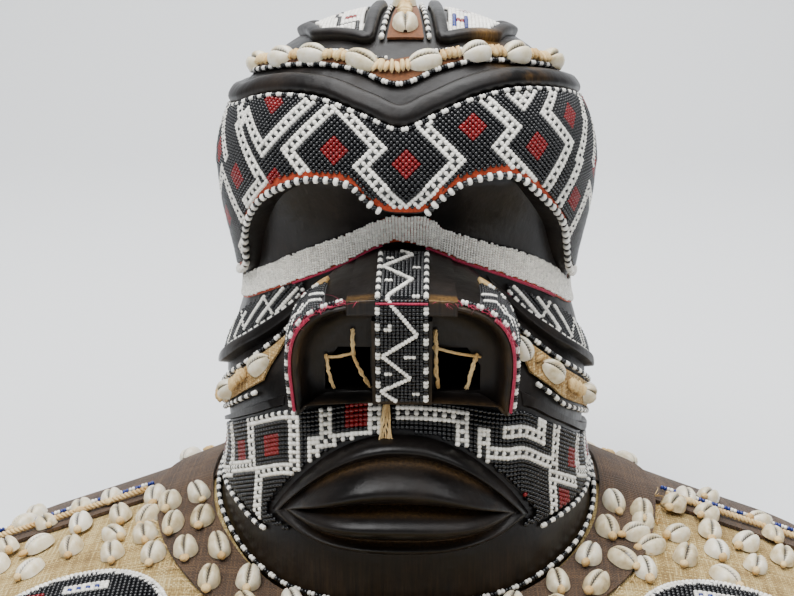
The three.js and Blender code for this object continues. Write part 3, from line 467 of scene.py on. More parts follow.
def carvedHardwood():
    # Carved hardwood, blackened and rubbed by hands: dark satin, fine upright grain,
    # golden-brown where edges are worn and dusty brown in the grooves
    material, tree = newMaterial("BlackenedHardwood", {"IOR": 1.45, "Specular IOR Level": 0.28})
    # grain 1.6 mm wide and about 25 mm long, drawn along the block's upright axis
    place = addNode(tree, "TexCoord", output="Object")
    upright = addNode(tree, "Mapping", {"Scale": (620.0, 620.0, 40.0)}, {"Vector": place})
    grain = noise(tree, 1.0, 5.0, 0.6, upright)
    patches, adze = noise(tree, 28.0, 4.0, 0.55), noise(tree, 95.0, 2.0)
    dark = colourRamp(tree, calculate(tree, "MULTIPLY_ADD", grain, 0.35, patches),
                      [(0.42, "#080706"), (0.62, "#110e0d"), (0.8, "#1b1613"), (0.98, "#2a211a")])
    golden = colourRamp(tree, grain, [(0.3, "#4a3014"), (0.55, "#83602c"), (0.75, "#a98445")])
    dusty = colourRamp(tree, grain, [(0.3, "#2b1d10"), (0.6, "#5e4523"), (0.8, "#7d6234")])
    worn = calculate(tree, "MULTIPLY", byPoint(tree, "wear"), ranged(tree, patches, 0.35, 0.62, 0, 1))
    dirt = byPoint(tree, "dirt")
    return fed(material, {
        "Base Color": blended(tree, dirt, blended(tree, worn, dark, golden), dusty),
        "Roughness": calculate(tree, "MULTIPLY_ADD", dirt, 0.35, ranged(tree, patches, 0.3, 0.7, 0.3, 0.52)),
        "Normal": bumped(tree, adze, 0.35, 0.0016, bumped(tree, grain, 0.35, 0.0003))})


def wovenCloth(name, spec):
    # Plain weave of flat fibre threads: each thread passes over and under its neighbours
    # and has its own tone. The pitch is the real one, in millimetres
    material, tree = newMaterial(name, {"IOR": 1.5, "Roughness": 0.88, "Sheen Weight": spec["sheen"],
                                        "Sheen Roughness": 0.5})
    place = addNode(tree, "TexCoord", output="Object")
    bent = addNode(tree, "VectorMath", {"operation": "MULTIPLY_ADD", 1: (0.0022,) * 3},
                   {0: noise(tree, 60.0, 2.0, output="Color"), 2: place})
    scaled = addNode(tree, "VectorMath", {"operation": "SCALE", "Scale": 1000.0 / spec["pitch"]}, {0: bent})
    parts = addNode(tree, "SeparateXYZ", {}, {0: scaled}).node.outputs
    axes = [parts[k] for k in spec["axes"]]
    # the height of a thread is a half sine across it
    waves = [calculate(tree, "SINE", calculate(tree, "MULTIPLY", axis, math.pi)) for axis in axes]
    ways = [calculate(tree, "ABSOLUTE", wave) for wave in waves]
    floors = [calculate(tree, "FLOOR", axis) for axis in axes]
    over = calculate(tree, "FLOORED_MODULO", calculate(tree, "ADD", *floors), 2.0)
    height = blended(tree, over, *ways, kind="FLOAT")
    threads = [addNode(tree, "TexWhiteNoise", {"noise_dimensions": "1D"}, {"W": floor}) for floor in floors]
    tone = blended(tree, over, *threads, kind="FLOAT")
    body = colourRamp(tree, calculate(tree, "MULTIPLY_ADD", tone, 0.45, noise(tree, 22.0, 5.0, 0.65)),
                      spec["stops"])
    # painted shade: the colour is darkened down to 0.35 where the threads dip, for the shade between them
    return fed(material, {"Base Color": shaded(tree, body, ranged(tree, height, 0, 0.6, 0.35, 1)),
                          "Normal": bumped(tree, height, 0.7, 0.0007)})


def raffiaFibre():
    # Dry raffia leaf fibre, split and twisted: matt, streaked along its length
    material, tree = newMaterial("Raffia", {"IOR": 1.5, "Roughness": 0.78})
    streaks = noise(tree, 900.0, 3.0)
    body = colourRamp(tree, calculate(tree, "MULTIPLY_ADD", streaks, 0.5, noise(tree, 45.0, 3.0)),
                      [(0.35, "#8a6433"), (0.6, "#c39b5e"), (0.85, "#e0c38d")])
    return fed(material, {"Base Color": body, "Normal": bumped(tree, streaks, 0.5, 0.0004)})


def cowrieShell():
    # Money cowrie: porcelain-smooth creamy shell, greyer over the back, with painted shade: near-black inside the
    # slit and between its teeth
    material, tree = newMaterial("CowrieShell", {"IOR": 1.53, "Roughness": 0.26, "Subsurface Weight": 0.06,
                                                 "Subsurface Scale": 0.002})
    body = colourRamp(tree, calculate(tree, "MULTIPLY_ADD", byPoint(tree, "tone"), 0.5, noise(tree, 140.0, 3.0)),
                      [(0.4, "#a08d66"), (0.62, "#cdbd98"), (0.82, "#e2d6b9"), (1.0, "#ece5d2")])
    # painted shade: where the slit mark is high, the shell colour gives way to near-black, standing for the shade
    # inside the opening
    return fed(material, {"Base Color": addNode(tree, "Mix", {"data_type": "RGBA", 7: linearColour("#15131c")},
                                                {0: byPoint(tree, "slit"), 6: body}, 2)})


def plainFibre(name, code, roughness):
    # Dyed cotton thread and cloth under the beads, matt with a slight fuzz
    material, tree = newMaterial(name, {"IOR": 1.5, "Roughness": roughness, "Sheen Weight": 0.3,
                                        "Sheen Roughness": 0.4})
    fuzz = noise(tree, 700.0, 3.0)
    return fed(material, {"Base Color": shaded(tree, code, ranged(tree, fuzz, 0.3, 0.7, 0.55, 1.2)),
                          "Normal": bumped(tree, fuzz, 0.5, 0.0003)})


# colour and roughness of each bead, and weave, sheen and tones of each cloth
beadLooks = {"Black": ("#101114", 0.2), "White": ("#fbf8ef", 0.32), "Red": ("#7a0a10", 0.22),
             "Blue": ("#1c2f7d", 0.22)}
clothLooks = {
    "RaffiaCloth": {"pitch": 1.5, "axes": (0, 1), "sheen": 0.05, "stops": [
        (0.3, "#775b2f"), (0.55, "#9d814a"), (0.75, "#b79c62"), (0.95, "#cfb984")]},
    "CheekRaffiaCloth": {"pitch": 1.3, "axes": (0, 2), "sheen": 0.05, "stops": [
        (0.3, "#7a5a2d"), (0.55, "#a07c45"), (0.75, "#b8955c"), (0.95, "#d2b581")]},
    "BrownCloth": {"pitch": 1.2, "axes": (0, 1), "sheen": 0.08, "stops": [
        (0.3, "#271a0f"), (0.55, "#3d2a19"), (0.75, "#4e3723"), (0.95, "#61482f")]},
    "BackOfHeadCloth": {"pitch": 1.3, "axes": (0, 2), "sheen": 0.15, "stops": [
        (0.3, "#3a2a1d"), (0.55, "#55402c"), (0.75, "#6a5138"), (0.95, "#806548")]},
}
wood, raffia, cowrieGlaze = carvedHardwood(), raffiaFibre(), cowrieShell()
beadSet = [glassBeads(f"{name}GlassBeads", *look) for name, look in beadLooks.items()]
black, white, red, blue = range(4)
tanCloth, cheekCloth, brownCloth, backCloth = [wovenCloth(*look) for look in clothLooks.items()]
rustCloth = plainFibre("RustCloth", "#6b3f1e", 0.9)
underCloth = plainFibre("DarkUnderCloth", "#17151a", 0.9)
orangeCloth = plainFibre("OrangeUnderCloth", "#b5401a", 0.85)
crimsonThread = plainFibre("CrimsonThread", "#a3173f", 0.75)
print("materials made")


# Forms that repeat
def scattered(form, faceSets, spots, sizes):
    # Copies of one form: its x runs ahead, its y to the side and its z off the surface
    centre, ahead, normal = spots
    side = np.cross(normal, ahead)
    scaled = form[None] * np.broadcast_to(sizes, (len(centre), 3))[:, None]
    points = (centre[:, None] + ahead[:, None] * scaled[..., :1] + side[:, None] * scaled[..., 1:2]
              + normal[:, None] * scaled[..., 2:])
    step = (np.arange(len(centre)) * len(form))[:, None, None]
    return points.reshape(-1, 3), [(f[None] + step).reshape(-1, f.shape[1]) for f in faceSets]


def turned(spots, degrees):
    # The same places with each one's way ahead turned about its normal
    centre, ahead, normal = spots
    turn = np.radians(np.broadcast_to(degrees, len(centre)))[:, None]
    return centre, ahead * np.cos(turn) + np.cross(normal, ahead) * np.sin(turn), normal


def joinedSpots(*groups):
    return tuple(np.concatenate([group[k] for group in groups]) for k in range(3))


def beadForm(sides, panel):
    # A barrel: rings along its thread, narrower at the ends. A sewn-down bead shows only its
    # outer part, so its sides stand closer there and one wide side closes it below
    rings = [(-0.5, 0.62), (-0.26, 1.0), (0.26, 1.0), (0.5, 0.62)]
    if panel:
        turn = np.radians(90 + np.linspace(-112, 112, sides))
    else:
        turn = (np.arange(sides) + 0.5) / sides * 2 * np.pi
    points = np.concatenate([
        np.stack([np.full(sides, along), 0.5 * wide * np.cos(turn), 0.5 * wide * np.sin(turn)], -1)
        for along, wide in rings])
    fan = np.arange(1, sides - 1)
    last = (len(rings) - 1) * sides
    caps = np.concatenate([np.stack([0 * fan, fan + 1, fan], -1), last + np.stack([0 * fan, fan, fan + 1], -1)])
    return points, [gridFaces(len(rings), sides, True, turned=True), caps[:, ::-1]]


def beadPiece(name, node, slotName, spots, colours, sizes, panel=True, sides=5, rough=0.05):
    # sizes: each bead's length and width in mm; no two are quite alike or quite straight
    count = len(spots[0])
    sizes = np.broadcast_to(np.asarray(sizes, float), (count, 2)) * (1 + rough * dice.standard_normal((count, 1)))
    spots = turned(spots, 60 * rough * dice.standard_normal(count))
    form, faceSets = beadForm(sides, panel)
    points, faces = scattered(form, faceSets, spots, sizes[:, [0, 1, 1]])
    indices = np.concatenate([np.repeat(np.broadcast_to(colours, count), len(f)) for f in faceSets])
    tone = np.repeat(np.clip(0.5 + 0.22 * dice.standard_normal(count), 0, 1), len(form))
    return newPiece(name, points, faces, beadSet, slotName, node, {"tone": tone}, indices, 55)


stringBead = {"radius": 1.7, "room": 0.5}
pairs = (white, white, black, black)


def beadString(name, node, surface, path, size=(2.1, 3.3), pattern=pairs, pitch=2.2, height=None,
               slotName="white_beads"):
    # Beads threaded in a row along a path on a surface
    spots = evenPath(surface, path, size[1] / 2 + 0.4 if height is None else height, pitch)
    colours = np.resize(pattern, len(spots[0]))
    return beadPiece(name, node, slotName, spots, colours, size, panel=False, sides=7, rough=0.04)


def latticeOf(surface, spec):
    # Rows of beads at even steps up the surface, t, and along each row, s, both in mm; with
    # slanting on, every second row is shifted by half a bead, so that the lattice stands on its corner
    u, v = np.linspace(*spec["across"], 400), np.linspace(*spec["upward"], 400)
    rise = lengthAlong(surface(np.full_like(v, spec["meridian"]), v))

    def lengthAt(level):
        length = lengthAlong(surface(u, np.full_like(u, level)))
        return length - np.interp(spec.get("middle", 0), u, length)

    gap = spec["pitch"] * (math.sqrt(2) if spec["slanting"] else 1)
    rowStep = gap / (2 if spec["slanting"] else 1)
    places = []
    for k in range(int(rise[-1] / rowStep)):
        t = (k + 0.5) * rowStep
        level = np.interp(t, rise, v)
        length = lengthAt(level)
        start = (k % 2) * gap / 2 if spec["slanting"] else 0.0
        s = np.arange(math.floor(length[0] / gap), math.ceil(length[-1] / gap) + 1) * gap + start
        s = s[(s > length[0]) & (s < length[-1])]
        places.append(np.stack([np.interp(s, length, u), np.full_like(s, level), s, np.full_like(s, t)], -1))

    def flat(points):
        # places of the pattern in the same lengths
        return np.array([[np.interp(a, u, lengthAt(level)), np.interp(level, v, rise)] for a, level in points])
    return np.concatenate(places), flat


def spotsOf(surface, u, v, height, slant=0.0):
    # Centre, way ahead and normal on a surface; slant turns the way ahead off the level line
    u, v = np.broadcast_arrays(np.asarray(u, float), np.asarray(v, float))
    normal = normalsOf(surface, u, v)
    across = unit(surface(u + 0.3, v) - surface(u - 0.3, v))
    return turned((surface(u, v) + normal * height, across, normal), slant)


def spotsToward(surface, u, v, height, way, spread):
    # The same, looking along a way given in space, give or take a spread in degrees
    centre, _, normal = spotsOf(surface, u, v, height)
    ahead = unit(way - normal * (normal @ way)[:, None])
    return turned((centre, ahead, normal), spread * dice.standard_normal(len(centre)))


def snapped(line, flat, spec):
    # A line of the pattern as stretches that run exactly along the lattice's own rows: each is
    # a fixed row, the axis it is fixed on, and where it starts and ends, in beads
    points = toRows(flat(line), spec)
    stretches = []
    for start, end in zip(points[:-1], points[1:]):
        axis = int(abs(end[0] - start[0]) > abs(end[1] - start[1]))
        stretches.append([axis, round((start[axis] + end[axis]) / 2), start[1 - axis], end[1 - axis]])
    for one, two in zip(stretches[:-1], stretches[1:]):
        if one[0] != two[0]:
            one[3], two[2] = two[1], one[1]
    return [(axis, row, round(min(a, b)), round(max(a, b))) for axis, row, a, b in stretches]


def toRows(places, spec):
    # Lengths as counts of beads along the lattice's two directions
    s, t = places[:, 0], places[:, 1]
    if spec["slanting"]:
        turn = spec["pitch"] * math.sqrt(2)
        return np.stack([(s + t) / turn - 0.25, (s - t) / turn + 0.25], -1)
    return np.stack([s / spec["pitch"], t / spec["pitch"] - 0.5], -1)


def bandPattern(flatPlaces, flat, spec):
    # Bands of three rows, white outside and white and black by turns between, on the ground
    # colour; the squares are red
    beads = np.round(toRows(flatPlaces, spec)).astype(int)
    colours = np.full(len(beads), spec.get("ground", black))
    for centre in spec["squares"]:
        middle = np.round(toRows(flat([centre]), spec)[0])
        colours[np.abs(beads - middle).max(1) <= spec["squareReach"]] = spec.get("square", red)
    wide = spec.get("bandReach", 1)
    stretches = [stretch for line in spec["bands"] for stretch in snapped(line, flat, spec)]
    for axis, row, start, end in stretches:
        along = beads[:, 1 - axis]
        aside = np.abs(beads[:, axis] - row)
        beyond = np.maximum(np.maximum(start - along, along - end), 0)
        colours[np.maximum(aside, beyond) <= wide] = spec.get("band", white)
    for axis, row, start, end in stretches if wide else []:
        along = beads[:, 1 - axis]
        middle = (beads[:, axis] == row) & (along >= start) & (along <= end)
        colours[middle & (along % 2 == 0)] = spec.get("dots", black)
    return colours


def clothUnder(name, surface, low, high, columns, rows, material, slotName, thickness=(0.25, 0.9)):
    # The cloth that carries the beads: a thin skin between two lines of the head
    v = np.linspace(0, 1, rows)[:, None]
    angle = np.broadcast_to(columns, (rows, len(columns)))
    level = mix(low(angle), high(angle), v)
    body = shellOf(lifted(surface, angle, level, thickness[0]), lifted(surface, angle, level, thickness[1]))
    return newPiece(name, *body, [material], slotName)


# Nose, in the same shape as the carved one
nose = {
    "halfWidth": 65, "projection": 73, "lean": 16, "taper": 10, "rootRise": 11, "flare": 8, "recess": 13,
    "septumWidth": 35, "nostrilWidth": 28, "nostrilHeight": 30,
    "top": 0.598 * headSize["height"], "foot": 0.405 * headSize["height"], "spring": 0.476 * headSize["height"],
    # half width of the bone's lower edges and how far they lie below its top, at the root and at the tip
    "boneRoot": (29, 7), "boneTip": (32, 0.8), "boneThickness": 9,
    # how the front is hollowed: size of each ring and how far in it lies
    "hollow": [(1.0, 0.0), (0.985, -0.9), (0.96, -0.9), (0.935, 0.4), (0.915, 3.5), (0.88, 8.5), (0.84, 11.6),
               (0.78, 12.8), (0.7, 13.0), (0.5, 13.0), (0.25, 13.0), (0.02, 13.0)],
}
noseTipDepth = float(frontAt(59.8)) / 100 * headSize["depth"] + nose["projection"]
noseRoot = float(frontAt(59.8)) / 100 * headSize["depth"] - headSize["wall"]
bridgeRise = 0.045 * headSize["height"]
boneTop = nose["top"] + 2.5
boneFoot = boneTop - 14
sag = 0.022 * headSize["height"]
septumFoot = nose["foot"] + sag * 0.9


def frontFace(z):
    # How far forward the leaning front of the nose stands at a height
    return noseTipDepth - nose["lean"] * (nose["top"] - z) / (nose["top"] - nose["foot"])


def noseArch(t, halfWidth, top, spring, foot):
    # Upright legs, then a superelliptic arch between them
    legs = 0.16
    share = np.where(t < 0.5, t, 1 - t) / legs
    turn = np.clip((t - legs) / (1 - 2 * legs), 0, 1) * np.pi
    c, s = np.cos(turn), np.sin(turn)
    archX = -halfWidth * np.sign(c) * np.abs(c) ** (2 / 3)
    archZ = spring + (top - spring) * np.abs(s) ** (2 / 3)
    low = share < 1
    return (np.where(low, np.where(t < 0.5, -1, 1) * halfWidth * mix(0.97, 1, share), archX),
            np.where(low, mix(foot, spring, share), archZ))


def noseSide(t, back):
    # From the front edge (0) to the root in the face (1)
    t = np.clip(t, 0, 1)
    x, z = noseArch(t, nose["halfWidth"], nose["top"], nose["spring"], nose["foot"])
    rootX, rootZ = noseArch(t, nose["halfWidth"] - nose["taper"], nose["top"] + nose["rootRise"], nose["spring"],
                            nose["foot"])
    spread = 1 + nose["flare"] / nose["halfWidth"] * np.sin(np.pi * np.asarray(back))
    return np.stack([mix(x, rootX, back) * spread, mix(-frontFace(z), -noseRoot, back), mix(z, rootZ, back)], -1)


def noseSkin(t, back):
    return noseSide(np.asarray(t) / 100, np.asarray(back) / 100)


def faceDepth(x, z):
    level = np.clip(z / headSize["height"] * 100, 0, headForm["equatorLevel"])
    across = np.minimum(np.abs(x) / (halfWidthAt(level) / 100 * headSize["width"]), 0.98)
    power = headForm["squareness"]
    return frontAt(level) / 100 * headSize["depth"] * (1 - across ** power) ** (1 / power)


# degrees between columns over the face, rows of points, and levels from the arches to the brow
block = {"step": 1.25, "backColumns": 32, "rows": 84, "ledgeRows": 6, "innerRows": 60, "ledge": 0.9}


def headBlock():
    # The outside in rows that follow the eye arches, where the brow stands out over the face,
    # and the hollow inside it, joined by the flat rim underneath
    angles = wrapped(np.concatenate([np.arange(-100, 100, block["step"]),
                                     np.linspace(100, 260, block["backColumns"] + 1)[:-1]]))
    arch = np.where(np.abs(angles) > 99, 54.8, lineAt["arch"](angles))
    share = np.linspace(0, 1, block["rows"])[:, None]
    ledge = np.linspace(0, 1, block["ledgeRows"] + 1)[1:, None]
    ledgeLevel = arch + block["ledge"] * ledge
    between = mix(head(angles, ledgeLevel), forehead(angles, ledgeLevel), smoothstep(ledge, 0, 1)[..., None] ** 0.6)
    top = headForm["equatorLevel"] + headForm["crownLevels"]
    upper = forehead(angles, mix(arch + block["ledge"], top, share[1:]))
    innerLevel = np.linspace(top, 0, block["innerRows"])[:, None]
    inside = headPoint(angles, innerLevel, *[-headSize["wall"]] * 4)
    rows = np.concatenate([head(angles, share * arch), between, upper, inside])
    place = np.arange(rows.shape[0] * rows.shape[1]).reshape(rows.shape[:2])
    first, last = place[0], place[-1]
    rim = np.stack([last, np.roll(last, -1), np.roll(first, -1), first], -1)
    return rows.reshape(-1, 3), [gridFaces(*rows.shape[:2], True), rim]


def filled(corners, count):
    # A closed outline with that many points on each side
    corners = np.array(corners, float)
    share = np.arange(count)[:, None] / count
    return np.concatenate([mix(a, b, share) for a, b in zip(corners, np.roll(corners, -1, 0))])


def noseRings():
    # Rings round the nose from its root to the front edge, over a rounded rim and into the recess
    steps = np.linspace(0, 1, 121)
    feet = np.linspace(0.5, -0.5, 31)[1:-1]

    def ring(back, scale, push):
        side = noseSide(steps, back)
        z = nose["foot"] + sag * (1 - (feet * 1.2) ** 2)
        depth = mix(-frontFace(z), -noseRoot, back)
        under = np.stack([feet * 2 * nose["halfWidth"] * 0.97 * mix(1, 0.85, back), depth, z], -1)
        points = np.concatenate([side, under])
        points[:, 0] *= scale
        points[:, 2] = nose["spring"] + (points[:, 2] - nose["spring"]) * scale
        if back == 0:
            points[:, 1] = -frontFace(points[:, 2]) + push
        return points
    return np.array([ring(back, 1.0, 0.0) for back in np.linspace(1, 0.03, 26)]
                    + [ring(0, size, push) for size, push in nose["hollow"]])




def noseBone():
    # The flat-topped bone: a trapezium drawn from the bridge to the tip, with soft edges
    half = nose["septumWidth"] / 2

    def ring(y, flatHalf, top, edge, drop):
        low = top - drop - nose["boneThickness"]
        corners = [[-edge, low], [-edge, top - drop], [-flatHalf, top], [flatHalf, top], [edge, top - drop],
                   [edge, low]]
        return np.insert(filled(corners, 7), 1, y, axis=1)
    back = ring(-noseRoot, half - 2, nose["top"] + bridgeRise, *nose["boneRoot"])
    front = ring(-noseTipDepth - 1, half - 1, boneTop, *nose["boneTip"])
    middle = front.mean(0)
    share = np.linspace(0, 1, 40)[:, None]
    rounded = [middle + (front - middle) * size - [0, push, 0]
               for size, push in ((0.985, 0.7), (0.95, 1.3), (0.9, 1.5), (0.45, 1.5))]
    return capped(np.concatenate([mix(back[None], front[None], share[..., None]), rounded]))


def septum():
    # The upright wall between the nostrils
    half = nose["septumWidth"] / 2
    ends = np.array([[[-half, y, z], [half, y, z], [half, -noseRoot, z], [-half, -noseRoot, z]]
                     for z, y in ((septumFoot, -frontFace(septumFoot) - 1), (boneFoot + 1, -noseTipDepth - 1))])
    return capped(mix(ends[:1], ends[1:], np.linspace(0, 1, 12)[:, None, None]))


lipForm = {
    "middle": -1.8, "halfWidth": 80, "slitHalf": 56, "powers": (2.2, 2.7),
    "top": 0.366 * headSize["height"], "corner": 0.212 * headSize["height"], "bottom": 0.172 * headSize["height"],
    "slit": 0.262 * headSize["height"], "slitEnd": 0.244 * headSize["height"],
    # share of the way in to the slit, and how far the wood stands out of the face there
    "above": [[-0.02, -12], [0, -3], [0.04, 7], [0.1, 12.5], [0.19, 14], [0.27, 10.5], [0.31, 9.5], [0.37, 13],
              [0.48, 22], [0.62, 28], [0.74, 29], [0.84, 26], [0.93, 20], [1.0, 11]],
    "below": [[-0.02, -12], [0, -3], [0.05, 8], [0.12, 15], [0.21, 19], [0.29, 16], [0.34, 13.5], [0.41, 17],
              [0.53, 25], [0.66, 30], [0.77, 30], [0.87, 26], [0.94, 20], [1.0, 11]],
}


def lipEdge(x, room=0.0):
    # Heights of the lips' upper and lower edge at a place across
    share = np.clip(np.abs(x - lipForm["middle"]) / (lipForm["halfWidth"] + room), 0, 1)
    ends = [lipForm["corner"] + (lipForm[key] - lipForm["corner"]) * (1 - share ** power)
            for key, power in zip(("top", "bottom"), lipForm["powers"])]
    return ends[0] + room, ends[1] - room


def lipShare(x, z):
    # How far in from the lips' edge (0) to the slit (1) a place is, by repeated estimates
    share = np.full(np.shape(x), 0.5)
    for _ in range(14):
        x0 = np.clip((x - lipForm["middle"]) / mix(lipForm["halfWidth"], lipForm["slitHalf"], share), -1, 1)
        upper, lower = lipEdge(lipForm["middle"] + x0 * lipForm["halfWidth"])
        slit = mix(lipForm["slit"], lipForm["slitEnd"], x0 ** 2)
        edge = np.where(z > slit, upper, lower)
        share = mix(share, np.clip((z - edge) / np.where(np.abs(slit - edge) < 0.5, 0.5, slit - edge), 0, 1), 0.6)
    return share


def lipBlock():
    # Rings that close in from the lips' outline to the slit between them
    turn = np.linspace(0, 2 * np.pi, 181)[:-1]
    x0, up = np.cos(turn), np.sin(turn)
    upper, lower = lipEdge(lipForm["middle"] + x0 * lipForm["halfWidth"])
    rim = np.where(up > 0, upper, lower)
    inward = np.concatenate([[-0.02], np.linspace(0, 1, 61)])[:, None]
    weight = smoothstep((1 + up) / 2, 0.36, 0.64)
    proud = mix(curve(lipForm["below"])(inward), curve(lipForm["above"])(inward), weight)
    share = np.clip(inward, 0, 1)
    x = lipForm["middle"] + x0 * mix(lipForm["halfWidth"], lipForm["slitHalf"], share)
    slit = mix(lipForm["slit"], lipForm["slitEnd"], x0 ** 2) + 0.5 * up
    z = mix(rim, slit, share)
    fade = np.where(inward < 0.01, 1, mix(1, 0.35, np.abs(x0) ** 5))
    rings = np.stack([x, -faceDepth(x, z) - proud * fade, z], -1)
    count = rings.shape[1]
    points, faces = capped(rings)
    # the slit's floor joins each place of its upper edge with the one below it
    i = np.arange(1, count // 2 - 1)
    last = (len(rings) - 1) * count
    floor = [last + np.stack([i, i + 1, count - i - 1, count - i], -1),
             last + np.array([[0, 1, count - 1], [count // 2 - 1, count // 2, count // 2 + 1]])]
    return points[:-1], faces[:-1] + floor


def ridgeRail(surface, path, width, height, count, power=2.6):
    # A rounded bar along a closed line of the head, its foot sunk in the wood
    place = path(np.linspace(0, 1, count, endpoint=False))
    return sweep(surface(*place), normalsOf(surface, *place), roundSection(width, 2 * height, 18, power), True)


def domedStrip(surface, low, high, columns, rows, height, foot=-3.0, edge=4.0):
    # A strip between two lines whose top is domed: the height falls off with a high power of
    # the place across it
    u = np.linspace(0, 1, columns)[None, :]
    v = np.linspace(0, 1, rows)[:, None]
    a, b = low(u), high(u)
    angle, level = mix(a[0], b[0], v), mix(a[1], b[1], v)
    dome = (1 - np.abs(2 * v - 1) ** edge) ** (1 / edge) * np.minimum(1, 8 * np.minimum(u, 1 - u) + 0.15)
    over = lifted(surface, angle, level, height * dome + 0.0 * u)
    return shellOf(lifted(surface, angle, level, np.full(angle.shape, foot)), over)


def crownCorners(sign):
    # The outline of a crown panel, as shares of the head's width and depth
    shares = [(0.09, -0.217), (0.218, -0.14), (0.27, 0.05), (0.22, 0.24), (0.066, 0.27), (0.07, 0.02)]
    return [[sign * x * headSize["width"], y * headSize["depth"]] for x, y in shares]


def polygonPath(corners):
    # Straight stretches between corners, closed, with the turns slightly rounded
    loop = np.array(corners + corners[:1], float)
    share = lengthAlong(loop) / lengthAlong(loop)[-1]
    blur = [(-0.008, 0.25), (0.0, 0.5), (0.008, 0.25)]
    return lambda t: [sum(w * np.interp((t + d) % 1, share, loop[:, k]) for d, w in blur) for k in (0, 1)]


def plainObject(name, body):
    # A loose body for the wood's joining, not a piece of its own
    points, faces = body
    mesh = bpy.data.meshes.new(name)
    mesh.from_pydata(toScene(points).tolist(), [], [tuple(f) for faceSet in faces for f in faceSet.tolist()])
    work = bmesh.new()
    work.from_mesh(mesh)
    bmesh.ops.remove_doubles(work, verts=work.verts, dist=2e-7)
    bmesh.ops.recalc_face_normals(work, faces=work.faces)
    bmesh.ops.triangulate(work, faces=work.faces)
    work.to_mesh(mesh)
    work.free()
    return inScene(name, mesh)


def combine(base, others, operation):
    # Joins or cuts with solid bodies and keeps the result as the base's mesh
    for other in others:
        step = base.modifiers.new("join", "BOOLEAN")
        step.operation = operation
        step.solver = "MANIFOLD"
        step.object = other
    result = bpy.data.meshes.new_from_object(base.evaluated_get(bpy.context.evaluated_depsgraph_get()))
    base.modifiers.clear()
    base.data = result
    for other in others:
        bpy.data.objects.remove(other)


def nostrilCutter(sign):
    # A pentagonal hole, straight through into the hollow
    inner = nose["septumWidth"] / 2 + 1
    floor = nose["foot"] + 0.03 * headSize["height"]
    width, height = nose["nostrilWidth"], nose["nostrilHeight"]
    ring = filled([[inner, floor], [inner + width, floor + 1], [inner + width, floor + height * 0.6],
                   [inner + width * 0.7, floor + height], [inner, floor + height]], 8)
    middle = ring.mean(0)
    rings = []
    for depth, grow in ((-2 * noseTipDepth, 1.2), (-noseTipDepth + 12, 1.03), (-noseTipDepth + 17, 0.97),
                        (-noseRoot / 2, 0.97)):
        spread = middle + (ring - middle) * grow
        rings.append(np.stack([sign * spread[:, 0], np.full(len(ring), depth), spread[:, 1]], -1))
    return capped(np.array(rings))


def carvedHead():
    block = plainObject("carvedHead", headBlock())
    parts = [ridgeRail(forehead, alongLine("ridge", -180, 180), 14, 6, 420)]
    for side in sideLines.values():
        parts.append(ridgeRail(crown, polygonPath(crownCorners(side["sign"])), 8.5, 6, 150, 3.2))
        gap = 1.6 / headSize["height"] * 100
        start, tail = side["lidLow"][0], side["lidLow"][-1]
        lidTop = [[start[0], start[1] + gap]] + [[a, level - gap] for a, level in side["eyeLow"][1:]] + [
            [tail[0], tail[1] + gap]]
        parts.append(domedStrip(head, through(side["lidLow"]), through(lidTop), 90, 13, 6.5))
        parts.append(domedStrip(head, through(side["stripLow"]), through(side["stripHigh"]), 80, 9, 4, edge=8.0))
    parts += [capped(noseRings()), noseBone(), septum(), lipBlock()]
    combine(block, [plainObject(f"woodPart{k}", part) for k, part in enumerate(parts)], "UNION")
    combine(block, [plainObject(f"nostril{sign}", nostrilCutter(sign)) for sign in (-1, 1)], "DIFFERENCE")
    return block


carved = carvedHead()
print("wood carved:", len(carved.data.polygons), "faces")
woodPoints = np.empty(len(carved.data.vertices) * 3, np.float32)
carved.data.vertices.foreach_get("co", woodPoints)
woodPoints = woodPoints.reshape(-1, 3) * 1000 - [0, headSize["setback"], 0]


# how strong each mark is, from 0 to 1
marks = {"noseEdge": 0.12, "boneTip": 0.5, "ridgePatch": 0.75, "lipGroove": 0.5, "lipSlit": 0.9, "jaw": 0.22}


def woodMarks(p):
    # Wear on the edges that hands touch and dirt in the grooves, by place
    x, y, z = p.T
    angle = np.degrees(np.arctan2(x, -y))
    level = z / headSize["height"] * 100
    outward = -y - faceDepth(x, np.clip(z, 0, 285))
    wear = np.zeros(len(p))
    onNose = (np.abs(x) < 70) & (z > 150) & (z < 240) & (-y > 120)
    edge = np.exp(-((-y - frontFace(np.clip(z, 150, 228))) / 3.5) ** 2)
    wear = np.maximum(wear, np.where(onNose, marks["noseEdge"] * edge, 0))
    tip = smoothstep(z, boneTop - 2.2, boneTop - 0.6) * smoothstep(-y, noseTipDepth - 8, noseTipDepth - 3)
    wear = np.maximum(wear, marks["boneTip"] * tip * (np.abs(x) < 34))
    patch = np.exp(-((angle - 45) / 7) ** 2) * (level > 90) * (level < 99)
    wear = np.maximum(wear, marks["ridgePatch"] * patch)
    upper, lower = lipEdge(x)
    onLips = (z < upper) & (z > lower) & (outward > 0)
    share = lipShare(x, z)
    inner = 1 - smoothstep(np.abs(x - lipForm["middle"]) / lipForm["halfWidth"], 0.5, 0.78)
    grooves = np.maximum(marks["lipGroove"] * np.exp(-((share - 0.33) / 0.05) ** 2),
                         marks["lipSlit"] * smoothstep(share, 0.86, 0.97))
    jaw = 1 - smoothstep(level, 4, 20)
    dirt = np.maximum(onLips * inner * grooves, marks["jaw"] * jaw * (np.abs(angle) < 100))
    return wear, np.clip(dirt, 0, 1)


carved.data.materials.clear()
asPiece(carved, [wood], "wooden_helmet", dict(zip(("wear", "dirt"), woodMarks(woodPoints))), 38)

